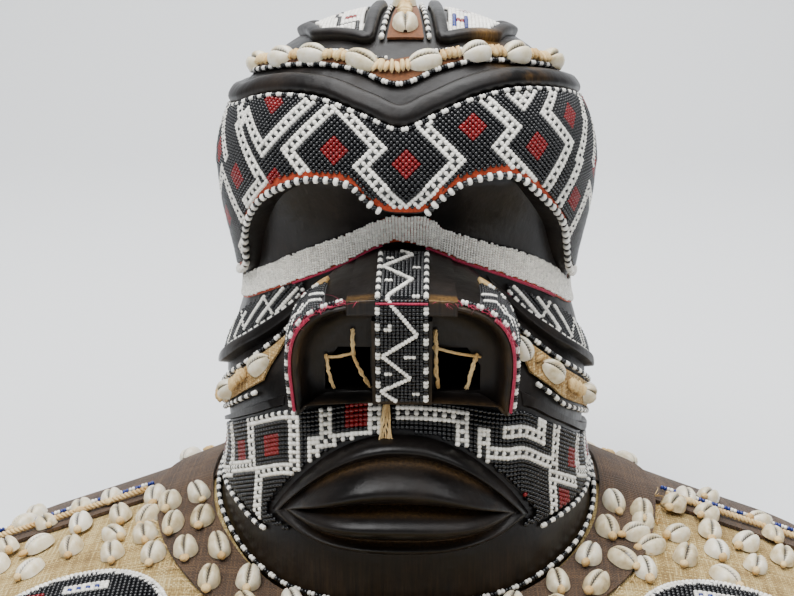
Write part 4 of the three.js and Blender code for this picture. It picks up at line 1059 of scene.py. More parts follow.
# Forehead panel
# angles where the coverings of the face end, and the columns of the cloths under them
coverEnd = 95.5
faceColumns = np.arange(-96, 96.5, 1.5)
levelPerMm = 100 / headSize["height"]
seamLevel, ribLevel = 3 * levelPerMm, 8 * levelPerMm
stringLevel = (2 * stringBead["radius"] + stringBead["room"]) * levelPerMm
foreheadPanel = {
    "pitch": 2.5, "across": (-coverEnd, coverEnd), "upward": (54, 95), "meridian": -36, "slanting": True,
    "bead": (2.35, 2.75), "squareReach": 2,
    "bands": [
        [[-19.5, 87.6], [-5, 83], [-13, 78], [1.5, 72.6], [15.5, 80.8], [4.5, 85.2], [13.5, 90]],
        [[-24, 90], [-32, 80.2], [-21, 75.5]],
        [[22, 91.5], [34.5, 85.8], [24.5, 81.6], [39.5, 74], [51, 81.6], [44.5, 86.4], [55.5, 91]],
        [[-33, 91], [-37.5, 81.2], [-55, 84.6], [-67, 89]],
        [[-56, 83], [-42, 77.8], [-45.5, 70]],
        [[33, 93], [40, 88.8], [48, 92.5]],
        [[46, 69.5], [55, 77.6], [68, 84], [77, 88]],
        [[-58, 60], [-52, 68], [-64, 75], [-76, 68], [-86, 60]],
        [[-60, 78], [-73, 84], [-86, 77], [-96, 83]],
        [[54, 64], [66, 72], [80, 66], [92, 58]],
        [[66, 78], [80, 80], [95, 73]],
    ],
    "squares": [
        [-19, 81.6], [0.5, 79.6], [19.5, 85.8], [38, 81.4], [57, 85.8], [-43, 88.6], [-34.5, 75.4], [-51, 75.2],
        [54, 71.2], [-68, 78.5], [-66, 67], [-84, 71], [70, 75], [-78, 62], [84, 86], [84, 60],
    ],
}


def panelBeads(name, node, slotName, surface, spec, keep, slant, height=1.75):
    # Beads of a lattice that lie inside the panel, coloured by its bands and squares
    places, flat = latticeOf(surface, spec)
    places = places[keep(places[:, 0], places[:, 1])]
    colours = bandPattern(places[:, 2:], flat, spec)
    spots = spotsOf(surface, places[:, 0], places[:, 1], height, slant(places[:, 0]))
    sizes = np.array(spec["bead"]) * np.where(colours == white, 1.06, 1.0)[:, None]
    print(name, len(places), "beads")
    return beadPiece(name, node, slotName, spots, colours, sizes)


def foreheadLow(angle):
    return lineAt["arch"](angle) + stringLevel + seamLevel * 1.1


def foreheadHigh(angle):
    return lineAt["ridge"](angle) - ribLevel


clothUnder("foreheadCloth", forehead, lambda a: foreheadLow(a) - seamLevel * 0.6, foreheadHigh,
           faceColumns, 40, underCloth, "dark_bead_panel", (0.25, 1.0))
clothUnder("foreheadOrangeEdge", forehead, lambda a: foreheadLow(a) - seamLevel,
           lambda a: foreheadLow(a) + seamLevel * 0.8, np.arange(-94, 94.5, 1.0), 4, orangeCloth,
           "dark_bead_panel", (0.2, 1.2))
panelBeads("foreheadBeads", "forehead_bead_panel", "dark_bead_panel", forehead, foreheadPanel,
           lambda a, l: (l > foreheadLow(a) + 0.1) & (l < foreheadHigh(a) - 0.9) & (np.abs(a) < coverEnd),
           lambda a: np.where(a < 0, 45.0, -45.0))
beadString("foreheadTopBeads", None, forehead, alongLine("ridge", -95, 95, -ribLevel - 0.35), (2.3, 3.0))
for sideName, start, end in (("left", -94, -6), ("right", 6, 94)):
    # wide white beads by turns with slim black ones round each eye arch
    spots = evenPath(forehead, alongLine("arch", start, end, stringLevel * 0.62), 2.1, 3.15)
    even = np.arange(len(spots[0])) % 2 == 0
    beadPiece(f"{sideName}ArchBeads", f"{sideName}_eye_arch_bead_string", "white_beads", spots,
              np.where(even, white, black), np.where(even[:, None], [2.9, 4.9], [3.0, 3.7]),
              panel=False, sides=8, rough=0.06)
print("forehead beaded")


# Brow band and crown
def layCloth(name, node, surface, low, high, columns, rows, material, slotName, cloth, ring=False):
    # A cloth between two lines of a surface: rows run from the low line to the high one
    v = np.linspace(0, 1, rows)[:, None]
    a, b = low(columns), high(columns)
    u, w = mix(a[0], b[0], v), mix(a[1], b[1], v)
    over = lifted(surface, u, w, cloth["top"])
    body = shellOf(lifted(surface, u, w, cloth["top"] - cloth["thickness"]), over, ring)
    piece = newPiece(name, *body, [material], slotName, node)
    if ring:
        over = np.concatenate([over, over[:, :1]], 1)


# heights of a cloth's outer face and thickness in mm, its cut in metres
onHead = {"top": 2.2, "thickness": 1.6, "held": "laid", "on": ["wooden_helmet"]}
browCloth = onHead | {"cut": (0.322, 0.02)}
layCloth("browCloth", "brow_cloth_band", forehead, alongLine("browLow", -coverEnd, coverEnd, stringLevel),
         alongLine("browHigh", -coverEnd, coverEnd, -stringLevel), np.linspace(0, 1, 130), 8, rustCloth,
         "brown_cloth", browCloth)
for name, node, line, start, end, share in (
        ("lowerBrowBeads", "lower_brow_bead_string", "browLow", -coverEnd, coverEnd, 0.5),
        ("upperBrowBeads", "upper_brow_bead_string", "browHigh", -coverEnd, -7.258, -0.5),
        ("upperBrowBeadsRight", None, "browHigh", 5.348, coverEnd, -0.5)):
    beadString(name, node, forehead, alongLine(line, start, end, share * stringLevel))

cowrie = {"length": 21.0, "width": 15.8, "height": 8.6, "egg": 0.14, "groove": 0.15}
discSize = {"thick": 3.4, "wide": 8.6, "tall": 5.2, "pitch": 3.1}


def cowrieForm(columns=27):
    # An egg-shaped dome with its slit along the top: the slit's edges rise and fall tooth by tooth
    s = np.sin(np.linspace(-1, 1, columns) * 0.46 * np.pi)
    v = np.array([-1, -0.9, -0.7, -0.45, -0.24, -0.13, 0, 0.13, 0.24, 0.45, 0.7, 0.9, 1])
    s, v = np.meshgrid(s / s[-1] * 0.985, v)
    outline = (1 - np.abs(s) ** 2.4) ** 0.5 * (1 + cowrie["egg"] * s)
    dome = (1 - s ** 2) ** 0.42 * np.maximum(1 - np.abs(v) ** 2.6, 0) ** 0.5
    groove = np.exp(-(v / cowrie["groove"]) ** 2) * (1 - s ** 6)
    tooth = (np.arange(columns) % 2)[None, :] * ((np.abs(v) > 0.1) & (np.abs(v) < 0.3)) * (1 - s ** 4)
    z = np.maximum(dome - 0.26 * groove - 0.06 * tooth, 0)
    over = np.stack([0.5 * s, 0.5 * v * outline, z], -1)
    # painted shade mark: full along the slit's middle and nearly full in the sunken gaps between the teeth, for the
    # shade inside the opening
    slit = np.clip(np.where(np.abs(v) < 0.05, 1.0, np.where(np.abs(v) < 0.2, 0.75 * tooth + 0.1, 0)), 0, 1)
    place = np.arange(over.shape[0] * columns).reshape(over.shape[0], columns)
    edge = np.concatenate([place[0], place[1:, -1], place[-1, -2::-1], place[-2:0:-1, 0]])
    bottom = np.stack([edge, np.full(len(edge), over.shape[0] * columns), np.roll(edge, -1)], -1)
    points = np.concatenate([over.reshape(-1, 3), [[0, 0, -0.02]]])
    return points, [gridFaces(over.shape[0], columns), bottom], np.append(slit.ravel(), 0)


def knotForm(rings=9, around=12, folds=5):
    # A wound disc of fibre: round, flattened, with the ridges of its turns
    turn = np.linspace(0, 2 * np.pi, around, endpoint=False)[None, :]
    tilt = np.linspace(0.04, 0.96, rings)[:, None] * np.pi
    wide = np.sin(tilt) * (1 + 0.13 * np.cos(folds * turn + 4 * tilt))
    along = np.broadcast_to(-0.5 * np.cos(tilt), wide.shape)
    points = np.stack([along, 0.5 * wide * np.cos(turn), 0.5 + 0.5 * wide * np.sin(turn)], -1)
    flat, faces = capped(points)
    return flat, [f[:, ::-1] for f in faces]


def cowriePiece(name, node, spots, size=None):
    size = size or (cowrie["length"], cowrie["width"], cowrie["height"])
    form, faceSets, slit = cowrieForm()
    count = len(spots[0])
    sizes = np.array(size) * (1 + 0.05 * dice.standard_normal((count, 3)))
    points, faces = scattered(form, faceSets, spots, sizes)
    tone = np.repeat(np.clip(dice.normal(0.55, 0.2, count), 0, 1), len(form))
    # the slit values carry the painted shade of the slit and its tooth gaps
    values = {"slit": np.tile(slit, count), "tone": tone}
    return newPiece(name, points, faces, [cowrieGlaze], "cowrie_shell", node, values, sharp=70)


def knotPiece(name, node, spots, size=None):
    size = size or (discSize["thick"], discSize["wide"], discSize["tall"])
    form, faceSets = knotForm()
    sizes = np.array(size) * (1 + 0.12 * dice.standard_normal((len(spots[0]), 3)))
    points, faces = scattered(form, faceSets, turned(spots, 9 * dice.standard_normal(len(spots[0]))), sizes)
    return newPiece(name, points, faces, [raffia], "raffia", node, sharp=80)


def strungRow(surface, path, places, height, most=7):
    # Shells at shares of a path, and the discs threaded in the middle of each gap between them
    t = np.linspace(0, 1, 2000)
    length = lengthAlong(surface(*path(t)))
    at = np.interp(places, t, length)
    discs = []
    for start, end in zip(at[:-1], at[1:]):
        each = min(int((end - start - cowrie["length"]) / discSize["pitch"]) + 1, most)
        discs += [(start + end) / 2 + (k - (each - 1) / 2) * discSize["pitch"] for k in range(each)]
    fine = evenPath(surface, path, height, count=4000)
    return [tuple(part[np.clip((np.array(place) / length[-1] * 4000).astype(int), 0, 3999)] for part in fine)
            for place in (at, discs)]


def browMiddle(t):
    angle = mix(-88, 88, t)
    return angle, (lineAt["browLow"](angle) + lineAt["browHigh"](angle)) / 2


browAngles = np.array([-80, -57, -40.5, -17.5, 8, 31, 50.5, 76])
browShells, browDiscs = strungRow(forehead, browMiddle, (browAngles + 88) / 176, 2.4, 9)
cowriePiece("browCowries", "brow_cowrie_string", turned(browShells, 8 * dice.standard_normal(len(browAngles))))
knotPiece("browKnots", None, browDiscs)

crownPanel = {
    "pitch": 2.5, "across": (-75, 75), "upward": (-75, 78), "meridian": 30, "slanting": False,
    "bead": (2.3, 2.6), "squareReach": 1, "ground": white, "bandReach": 0,
}
crownFigures = {
    -1: {"bands": [[[-26, -56], [-32, -38], [-44, -30], [-38, -12], [-50, 6], [-36, 24], [-44, 44]],
                   [[-22, -40], [-28, -10], [-22, 20], [-26, 56]]],
         "squares": [[-34, -22], [-44, 16], [-32, 40]], "band": black},
    1: {"bands": [[[34, -42], [28, -30], [34, -18], [41, -30], [34, -42]], [[22, -6], [46, 8], [22, 24], [44, 40]]],
        "squares": [[34.5, -30], [36, 10], [30, 44]], "band": blue},
}


def insideOutline(x, y, outline):
    # Crossing count of a ray with the outline's sides
    inside = np.zeros(np.shape(x), bool)
    for (x0, y0), (x1, y1) in zip(outline, outline[1:] + outline[:1]):
        inside ^= ((y0 > y) != (y1 > y)) & (x < (x1 - x0) * (y - y0) / (y1 - y0 + 1e-9) + x0)
    return inside


def shrunk(corners, room):
    middle = np.mean(corners, 0)
    return [(middle + (np.array(c) - middle) * (1 - room / np.linalg.norm(np.array(c) - middle))).tolist()
            for c in corners]


def crownSeam(sign, inset):
    # A line beside the inner side of a crown panel
    return through([(x - sign * inset, y) for x, y in (crownCorners(sign)[k] for k in (0, 5, 4))])


for sideName, side in sideLines.items():
    sign = side["sign"]
    panelBeads(f"{sideName}CrownBeads", f"{sideName}_crown_bead_panel", "white_bead_panel", crown,
               crownPanel | crownFigures[sign],
               lambda x, y, outline=shrunk(crownCorners(sign), 9.0): insideOutline(x, y, outline),
               lambda x: 0.0, 1.6)
    beadString(f"{sideName}CrownEdgeBeads", f"{sideName}_crown_bead_string", crown, crownSeam(sign, 8))
crownCloth = onHead | {"cut": (0.0165, 0.145)}
layCloth("crownCloth", "crown_cloth_strip", crown, crownSeam(-1, 11.4), crownSeam(1, 11.4),
         np.linspace(0, 1, 60)[::-1], 9, rustCloth, "brown_cloth", crownCloth)


def crownMiddle(t):
    return -4.5 * t, mix(-0.21, 0.37, t) * headSize["depth"]


crownShells, crownDiscs = strungRow(crown, crownMiddle, np.array([0.07, 0.36, 0.68, 0.985]), 2.4, 8)
cowriePiece("crownCowries", "crown_cowrie_string", crownShells)
knotPiece("crownKnots", None, crownDiscs)
print("crown dressed")

# Face coverings
bandBead = {"pitch": 1.85, "length": 1.65, "width": 1.85, "rows": 14, "uneven": 0.28}


def whiteBand():
    # Short columns of fine beads side by side, each a little higher or lower than the next
    u = np.linspace(-97, 97, 800)
    length = lengthAlong(head(u, (lineAt["bandLow"](u) + lineAt["bandHigh"](u)) / 2))
    at = np.arange(0.5, length[-1] / bandBead["pitch"]) * bandBead["pitch"]
    angle = np.interp(at, length, u)[:, None]
    uneven = np.arange(bandBead["rows"]) + 0.5 + bandBead["uneven"] * dice.standard_normal((len(angle), 1))
    level = lineAt["bandLow"](angle) + uneven * bandBead["length"] * levelPerMm
    keep = level < lineAt["bandHigh"](angle) + 0.12
    spots = spotsOf(head, np.broadcast_to(angle, level.shape)[keep], level[keep], 1.5, 90.0)
    beadPiece("whiteBandBeads", "white_bead_band", "white_beads", spots, white,
              (bandBead["length"], bandBead["width"]), rough=0.06)


whiteBand()
clothUnder("whiteBandCloth", head, lambda a: lineAt["bandLow"](a) - 0.3, lambda a: lineAt["bandHigh"](a) - 0.2,
           faceColumns, 6, orangeCloth, "white_beads", (0.2, 0.9))


def cordPiece(name, surface, path, radius, height, material, slotName, count=160):
    # A round cord or fold of cloth along a path
    place = path(np.linspace(0, 1, count))
    body = sweep(lifted(surface, *place, height), normalsOf(surface, *place),
                 roundSection(2 * radius, 2 * radius, 8))
    return newPiece(name, *body, [material], slotName)


for name, start, end, shift, radius in (("bandPiping", 8, 60, -0.45, 1.0), ("bandPipingLeft", -42, -8, -0.4, 0.8)):
    cordPiece(name, head, alongLine("bandLow", start, end, shift), radius, 0.7 + radius / 2, crimsonThread,
              "brown_cloth")

mouthPanel = {
    "pitch": 2.75, "across": (-96, 96), "upward": (18, 43), "meridian": -50, "slanting": False,
    "bead": (2.6, 3.05), "squareReach": 2,
    "bands": [
        [[-29.5, 39.4], [-42.5, 34], [-45, 28.2], [-58, 21.6]],
        [[-25.5, 37.6], [-28.5, 29.6], [-39, 25.8], [-39.5, 19]],
        [[-18, 41], [-21, 34.2], [-22.5, 29]], [[-21, 34.2], [-6.5, 36.6]], [[-7.5, 35.6], [-6.5, 41]],
        [[-0.5, 41], [15, 37.4], [14.5, 32]], [[19.5, 35.6], [40.5, 25.8], [41.5, 19]], [[19.5, 36], [19, 29]],
        [[27, 38.5], [40, 29.2], [33.5, 37.2]], [[41, 35], [45, 26.2], [53, 20.6]],
        [[-60, 31], [-54, 25], [-66, 20]], [[-72, 28], [-66, 22], [-80, 20]], [[-84, 26], [-92, 20]],
        [[60, 30], [56, 25], [64, 20]], [[72, 27], [68, 22], [80, 20]], [[84, 26], [92, 20]],
    ],
    "squares": [[-34.5, 32.4], [-11, 39.4], [-50, 28.6], [29.5, 23.6], [53, 27], [46.5, 20.8], [-75, 24],
                [77, 23.5]],
}


def mouthLow(angle):
    return lineAt["jaw"](angle) + stringLevel + seamLevel / 2


def outsideLips(angle, level, room=2.2):
    # Clear of the carved lips' outline
    p = head(angle, level)
    upper, lower = lipEdge(p[..., 0], room)
    beside = np.abs(p[..., 0] - lipForm["middle"]) > lipForm["halfWidth"] + room
    return beside | (p[..., 2] > upper) | (p[..., 2] < lower)


def mouthShift(angle):
    return lineAt["mouth"](angle) - 42


def alongMouth(u, v):
    return head(u, v + mouthShift(u))


def mouthKeep(u, v):
    level = v + mouthShift(u)
    return (level > mouthLow(u) + 0.3) & (v < 42) & outsideLips(u, level)


def mouthLine(line):
    return [(a, level - float(mouthShift(a))) for a, level in line]


def lipTopLevel(angle):
    return (lipEdge(head(angle, 36.0)[..., 0], 1.0)[0] + 1.5) * levelPerMm


mouthPanel["bands"] = [mouthLine(line) for line in mouthPanel["bands"]]
mouthPanel["squares"] = mouthLine(mouthPanel["squares"])
panelBeads("mouthBeads", "mouth_bead_panel", "dark_bead_panel", alongMouth, mouthPanel, mouthKeep,
           lambda a: 0.0, 1.9)
for part, low, start, end, rows in (("Left", mouthLow, -coverEnd, -36, 24), ("Right", mouthLow, 37, 96, 24),
                                    ("Middle", lipTopLevel, -37.5, 38, 16)):
    clothUnder(f"mouthCloth{part}", head, low, lineAt["mouth"], np.arange(start, end, 1.5), rows, underCloth,
               "dark_bead_panel", (0.25, 1.0))
for sideName, side in sideLines.items():
    beadString(f"{sideName}JawBeads", f"{sideName}_jaw_bead_string", head,
               alongLine("jaw", 36 * side["sign"], 96 * side["sign"], stringLevel / 2))
beadString("neckBeads", "neck_bead_string", raised(head, 1.2), alongLine("neck", 0, 360, stringLevel * 1.6),
           (2.4, 3.3), pairs, 2.5)

eyePanel = {
    "pitch": 2.3, "across": (-96, 96), "upward": (38, 60), "meridian": -60, "slanting": True, "bead": (2.1, 2.5),
    "squareReach": 0, "squares": [], "bandReach": 0,
    "bands": [
        [[-40, 56.5], [-47, 50.5], [-53, 54.5], [-59, 46.5], [-66, 50.5], [-72, 43]],
        [[-66, 51], [-61, 44]], [[-45, 57], [-52, 49]],
        [[41, 57], [49, 50], [55, 53.5], [62, 45.5], [69, 49], [76, 41.5]],
        [[47, 56.5], [55, 48]], [[64, 51], [71, 43]],
    ],
}
eyeMound, cheek = raised(head, 1.3), raised(head, 0.8)

for sideName, side in sideLines.items():
    low, high = curve(sorted(side["eyeLow"])), curve(sorted(side["eyeHigh"]))
    ends = sorted([side["eyeLow"][0][0], side["eyeLow"][-1][0]])
    panelBeads(f"{sideName}EyeBeads", f"{sideName}_eye_bead_panel", "dark_bead_panel", eyeMound, eyePanel,
               lambda a, l, lo=low, hi=high, e=ends: ((a > e[0]) & (a < e[1]) & (l > lo(a) + 0.5)
                                                      & (l < hi(a) - 0.1)),
               lambda a: np.where(a < 0, 45.0, -45.0), 1.4)
    columns = np.linspace(ends[0] + 0.5, ends[1] - 0.5, 60)
    clothUnder(f"{sideName}EyeCloth", eyeMound, low, high, columns, 8, underCloth, "dark_bead_panel", (-1.1, 0.5))

    def lidPath(shift, lo=low, e=ends):
        return lambda t: (mix(*e, t), lo(mix(*e, t)) + shift)

    beadString(f"{sideName}EyeEdgeBeads", None, eyeMound, lidPath(0.1), (2.0, 2.6), (white, white, black), 2.1, 1.2)
    cordPiece(f"{sideName}EyePiping", eyeMound, lidPath(-0.35), 0.8, 0.3, crimsonThread, "brown_cloth")
    upper = through(side["cheekHigh"], -stringLevel / 2 - seamLevel / 2)
    lower = through(side["cheekLow"], stringLevel / 2 + seamLevel / 2)

    def across(share, start, upper=upper, lower=lower):
        def at(t):
            a, b = lower(mix(start, 1, t)), upper(mix(start, 1, t))
            return mix(a[0], b[0], share), mix(a[1], b[1], share)
        return at

    cheekCut = onHead | {"cut": (0.176, 0.02)}
    layCloth(f"{sideName}CheekCloth", f"{sideName}_cheek_raffia_band", cheek,
             *(across(share, 0.22) for share in (0.16, 0.84)[::side["sign"]]),
             np.linspace(0, 1, 70), 8, cheekCloth, "raffia", cheekCut)
    for edge, share, start in (("Upper", 1, 0.08), ("Lower", 0, 0.25)):
        beadString(f"{sideName}{edge}CheekBeads", f"{sideName}_{edge.lower()}_cheek_bead_string", cheek,
                   across(share, start))
    shells, discs = strungRow(cheek, across(0.5, 0), side["shells"], 2.4)
    cowriePiece(f"{sideName}CheekCowries", f"{sideName}_cheek_cowrie_string",
                turned(shells, 14 * dice.standard_normal(len(shells[0]))), (18.5, 14, 8))
    knotPiece(f"{sideName}CheekKnots", None, discs)
print("face dressed")


# Nose coverings
def noseStripCorners():
    # Up the septum, over the tip of the bone and back along its top, as depths and heights
    bridge, tip = nose["top"] + bridgeRise, noseTipDepth + 1
    fall = (bridge - boneTop) / (tip - noseRoot)
    start = float(frontAt(lineAt["bandLow"](0.0))) / 100 * headSize["depth"] + 5.3
    footDepth = frontFace(septumFoot) + 1
    lean = (tip - footDepth) / (boneFoot - septumFoot)
    return np.array([[footDepth + 2 * lean, septumFoot + 2], [tip, boneFoot],
                     [tip, bridge - (tip - noseRoot) * fall], [start, bridge - (start - noseRoot) * fall]])


stripCorners = noseStripCorners()
stripLength = lengthAlong(stripCorners)


def noseStrip(u, v):
    # The corners' line with its bends rounded
    u, v = np.broadcast_arrays(np.asarray(u, float), np.asarray(v, float))
    blur = [(-2.4, 0.22), (0, 0.56), (2.4, 0.22)]
    depth, z = (sum(w * np.interp(v + d, stripLength, stripCorners[:, k]) for d, w in blur) for k in (0, 1))
    return np.stack([u, -depth, z], -1)


tall = float(stripLength[3])
strip = {"beads": 12.6, "cloth": 14.8, "edge": 13.9, "piping": (15, 65.5)}
zigzag = [(-2, tall - 0.5), (5.5, 128), (-12, 110), (5.5, 91.5), (-8.5, 68), (9, 47), (-11.5, 32.5), (5, 17.5),
          (-12.5, 8.5), (-3, 1)]
stripPanel = {
    "pitch": 2.3, "across": (-15.5, 15.5), "upward": (0.5, tall - 0.5), "meridian": 0, "slanting": False,
    "bead": (2.1, 2.45), "squareReach": 0, "square": white, "bandReach": 0, "bands": [],
    "squares": [(-9, 122), (-7, 122), (8, 108), (10, 108), (-9, 90), (-7, 90), (7, 70), (9, 70), (-9, 51), (-7, 51),
                (3, 32), (5, 32), (-10, 20), (-8, 20), (8, 7), (10, 7), (-8, 53), (7, 33)],
}


def fromLine(u, v, line):
    # Distance of places to the nearest stretch of a line
    place = np.stack([u, v], -1)
    reach = []
    for start, end in zip(np.array(line[:-1], float), np.array(line[1:], float)):
        t = np.clip((place - start) @ (end - start) / ((end - start) @ (end - start)), 0, 1)
        reach.append(np.linalg.norm(place - start - t[..., None] * (end - start), axis=-1))
    return np.min(reach, 0)


def upStrip(across):
    return lambda t: (across + 0 * t, mix(0.8, tall - 0.8, t))


panelBeads("noseStripBeads", "nose_bead_strip", "white_bead_panel", noseStrip, stripPanel,
           lambda u, v: (np.abs(u) < strip["beads"]) & (fromLine(u, v, zigzag) > 1.9), lambda u: 0.0, 1.6)
beadString("noseZigzag", None, noseStrip, straightThrough(zigzag), (2.1, 2.8), (white,), 2.25, 1.9,
           "white_bead_panel")
clothUnder("noseStripCloth", noseStrip, lambda u: 0.4 + 0 * u, lambda u: tall - 0.4 + 0 * u,
           np.linspace(-strip["cloth"], strip["cloth"], 12), 90, underCloth, "white_bead_panel", (0.3, 0.9))
for sign in (-1, 1):
    beadString(f"noseStripEdge{sign}", None, noseStrip, upStrip(strip["edge"] * sign), (2.4, 3.2), pairs, 2.45,
               1.7, "white_bead_panel")
cordPiece("tipPiping", noseStrip, levelLine(-strip["piping"][0], *strip["piping"]), 0.7, 2.9, crimsonThread,
          "brown_cloth", 24)

# places on the nose's skin: hundredths round it, and hundredths back from its front edge
wing = {"reach": (0.26, 0.6), "upward": (6, 52), "pitch": 2.3, "bead": (2.1, 2.5), "slanting": True,
        "squareReach": 0, "squares": [], "bandReach": 0, "threads": 46}
patchFigures = {
    -1: [[[37, 12], [34, 34], [30, 14], [26, 36], [23, 12]], [[38, 30], [33, 40]], [[30, 30], [26, 18]]],
    1: [[[63, 12], [66, 34], [70, 14], [74, 36], [77, 12]], [[62, 30], [67, 40]], [[70, 30], [74, 18]]],
}


def fibres(name, spots, length, width, curl, material, slotName):
    # Loose ends: tapered three-sided strands that rise off the surface and bend over at random
    centre, ahead, normal = spots
    count, steps = len(centre), 7
    side = np.cross(normal, ahead)
    t = np.linspace(0, 1, steps)[None, :, None]
    reach = (length * (0.6 + 0.8 * dice.random((count, 1, 1))))
    bend = curl * dice.standard_normal((count, 1, 1))
    rise = 0.35 + 0.5 * dice.random((count, 1, 1))
    path = (centre[:, None] + ahead[:, None] * t * reach + side[:, None] * bend * reach * t ** 2
            + normal[:, None] * reach * rise * np.sin(t * np.pi * 0.85) * 0.5)
    turn = np.arange(3) / 3 * 2 * np.pi
    ring = (side[:, None, None] * np.cos(turn)[None, None, :, None]
            + normal[:, None, None] * np.sin(turn)[None, None, :, None])
    points = path[:, :, None] + ring * (width / 2 * (1 - 0.8 * t))[..., None]
    place = np.arange(count)[:, None, None] * steps * 3
    quads = gridFaces(steps, 3, True)[None] + place
    caps = np.array([[0, 2, 1], [steps * 3 - 3, steps * 3 - 2, steps * 3 - 1]])[None] + place
    return newPiece(name, points.reshape(-1, 3), [quads.reshape(-1, 4)[:, ::-1], caps.reshape(-1, 3)[:, ::-1]],
                    [material], slotName, sharp=80)


for sideName, side in sideLines.items():
    sign = side["sign"]
    edges = sorted(50 + sign * 50 * share for share in wing["reach"])
    spec = wing | {"across": (edges[0] - 2, edges[1] + 2), "meridian": 50 + sign * 20, "middle": 50 + sign * 20,
                   "bands": patchFigures[sign]}
    panelBeads(f"{sideName}WingBeads", f"{sideName}_nose_wing_bead_patch", "white_bead_panel", noseSkin, spec,
               lambda u, v, e=edges: (u > e[0]) & (u < e[1]) & (v > 8) & (v < 50),
               lambda u: np.full(len(u), 45.0), 1.5)
    clothUnder(f"{sideName}WingCloth", noseSkin, lambda u: 7 + 0 * u, lambda u: 51 + 0 * u,
               np.linspace(edges[0] - 0.5, edges[1] + 0.5, 30), 14, underCloth, "white_bead_panel", (0.2, 0.8))

    def rim(start, end, back, s=sign):
        return lambda t: (50 + s * 50 * mix(start, end, t), back + 0 * t)

    beadString(f"{sideName}NoseEdgeBeads", f"{sideName}_nose_edge_bead_string", noseSkin, rim(0.16, 0.97, 3.6),
               (2.2, 3.3), pairs, 2.3)
    cordPiece(f"{sideName}NosePiping", noseSkin, rim(0.36, 0.97, -0.4), 1.0, 0.9, crimsonThread, "brown_cloth")
    beadString(f"{sideName}WingBackBeads", None, noseSkin, rim(0.3, 0.8, 54), (2.2, 3.2), pairs, 2.3)
    for k in range(3):
        cordPiece(f"{sideName}WingRaffia{k}", noseSkin, rim(0.26, 0.8, 57.5 + 3 * k), 1.4, 1.0, raffia, "raffia")
    place = rim(0.1, 0.62, 0.6)(dice.random(wing["threads"]) ** 1.5 * 0.9)
    spots = turned(spotsOf(noseSkin, *place, 0.8), 360 * dice.random(wing["threads"]))
    fibres(f"{sideName}WingThreads", spots, 6.5, 0.75, 0.8, crimsonThread, "brown_cloth")

tieLines = {
    "left": [[[-28.6, 205], [-29, 190]], [[-29, 190], [-44.5, 188]], [[-44.5, 188], [-41.6, 168.4]],
             [[-29, 190], [-20, 169.1]]],
    "right": [[[19.8, 205], [20, 194]], [[20, 194], [20.6, 169.1]], [[20, 194], [44, 189]],
              [[44, 189], [37.9, 168.4]]],
}


def tiePiece(sideName, lines):
    # Each tie is a few flat strands laid side by side, twisted a little, with frayed ends
    bodies = []
    for (x0, z0), (x1, z1) in lines:
        for strand in range(3):
            shift = (strand - 1) * 0.9
            t = np.linspace(-0.06, 1.06, 14)
            x = mix(x0, x1, t) + shift * np.cos(3 * t + strand) + 0.3 * dice.standard_normal(14)
            z = mix(z0, z1, t) + shift * np.sin(2 * t + strand) * 0.6
            bow = 2.0 * np.sin(np.clip(t, 0, 1) * np.pi)
            depth = frontFace(z) - nose["recess"] + 1.4 + bow + 0.25 * strand
            points = np.stack([x, -depth, z], -1)
            normals = unit(np.tile([0.25 * np.sin(strand * 2), -1.0, 0.1], (14, 1)))
            bodies.append(sweep(points, normals, roundSection(1.5, 0.7, 6)))
    newPiece(f"{sideName}NostrilTie", *joined(bodies), [raffia], "raffia", f"{sideName}_nostril_raffia_tie",
             sharp=80)


for sideName, tie in tieLines.items():
    tiePiece(sideName, tie)

tuft = {"strands": 7, "top": 41.2, "foot": 34.6, "angle": -4}


def straw():
    # A tuft of raffia that hangs in front of the bead panel, under the nose
    bodies = []
    t = np.linspace(0, 1, 10)
    for k in range(tuft["strands"]):
        level = mix(tuft["top"], tuft["foot"] + 0.4 * k % 2, t)
        angle = tuft["angle"] + 0.5 * (k - 3) * (0.35 + 0.8 * t) + 0.15 * dice.standard_normal(len(t))
        points = lifted(head, angle, level, 4.2 + 0.8 * np.sin(t * 3 + k))
        bodies.append(sweep(points, normalsOf(head, angle, level), roundSection(1.2, 0.6, 6)))
    newPiece("noseTuft", *joined(bodies), [raffia], "raffia", sharp=80)


straw()
print("nose dressed")

# Back of the head
backCut = onHead | {"top": 3.3, "thickness": 1.8, "cut": (0.31, 0.23)}
layCloth("backCloth", "back_head_cloth", head, levelLine(114.67, 245.33, 21), levelLine(114.67, 245.33, 80),
         np.linspace(0, 1, 90), 60, backCloth, "brown_cloth", backCut)
print("back dressed")

# Collar
collarForm = {"halfWidth": 314, "halfDepth": 283, "edge": 2.2, "layerAngle": 84, "step": 12, "band": 38}


def collar(angle, inward):
    # Straight from its oval outer edge, on the table, up to the line round the neck
    angle, inward = np.broadcast_arrays(np.asarray(angle, float), np.asarray(inward, float))
    neck = headPoint(angle, lineAt["neck"](wrapped(angle)), 2.3, 2.3, 2.3)
    s, c = np.sin(np.radians(angle)), np.cos(np.radians(angle))
    setback = headSize["setback"]
    a = (s / collarForm["halfWidth"]) ** 2 + (c / collarForm["halfDepth"]) ** 2
    b = -c * setback / collarForm["halfDepth"] ** 2
    edge = (-b + np.sqrt(b * b - a * ((setback / collarForm["halfDepth"]) ** 2 - 1))) / a
    reach = mix(edge, np.hypot(neck[..., 0], neck[..., 1]), inward / 100)
    z = collarForm["edge"] + (neck[..., 2] - collarForm["edge"]) * inward / 100
    return np.stack([reach * s, -reach * c, z], -1)


def layerRise(angle):
    turn = np.abs(wrapped(angle))
    up = smoothstep(turn, collarForm["layerAngle"] - collarForm["step"], collarForm["layerAngle"] - 1)
    down = 1 - smoothstep(turn, collarForm["layerAngle"] + 13, collarForm["layerAngle"] + 36)
    return 2.8 * up * down


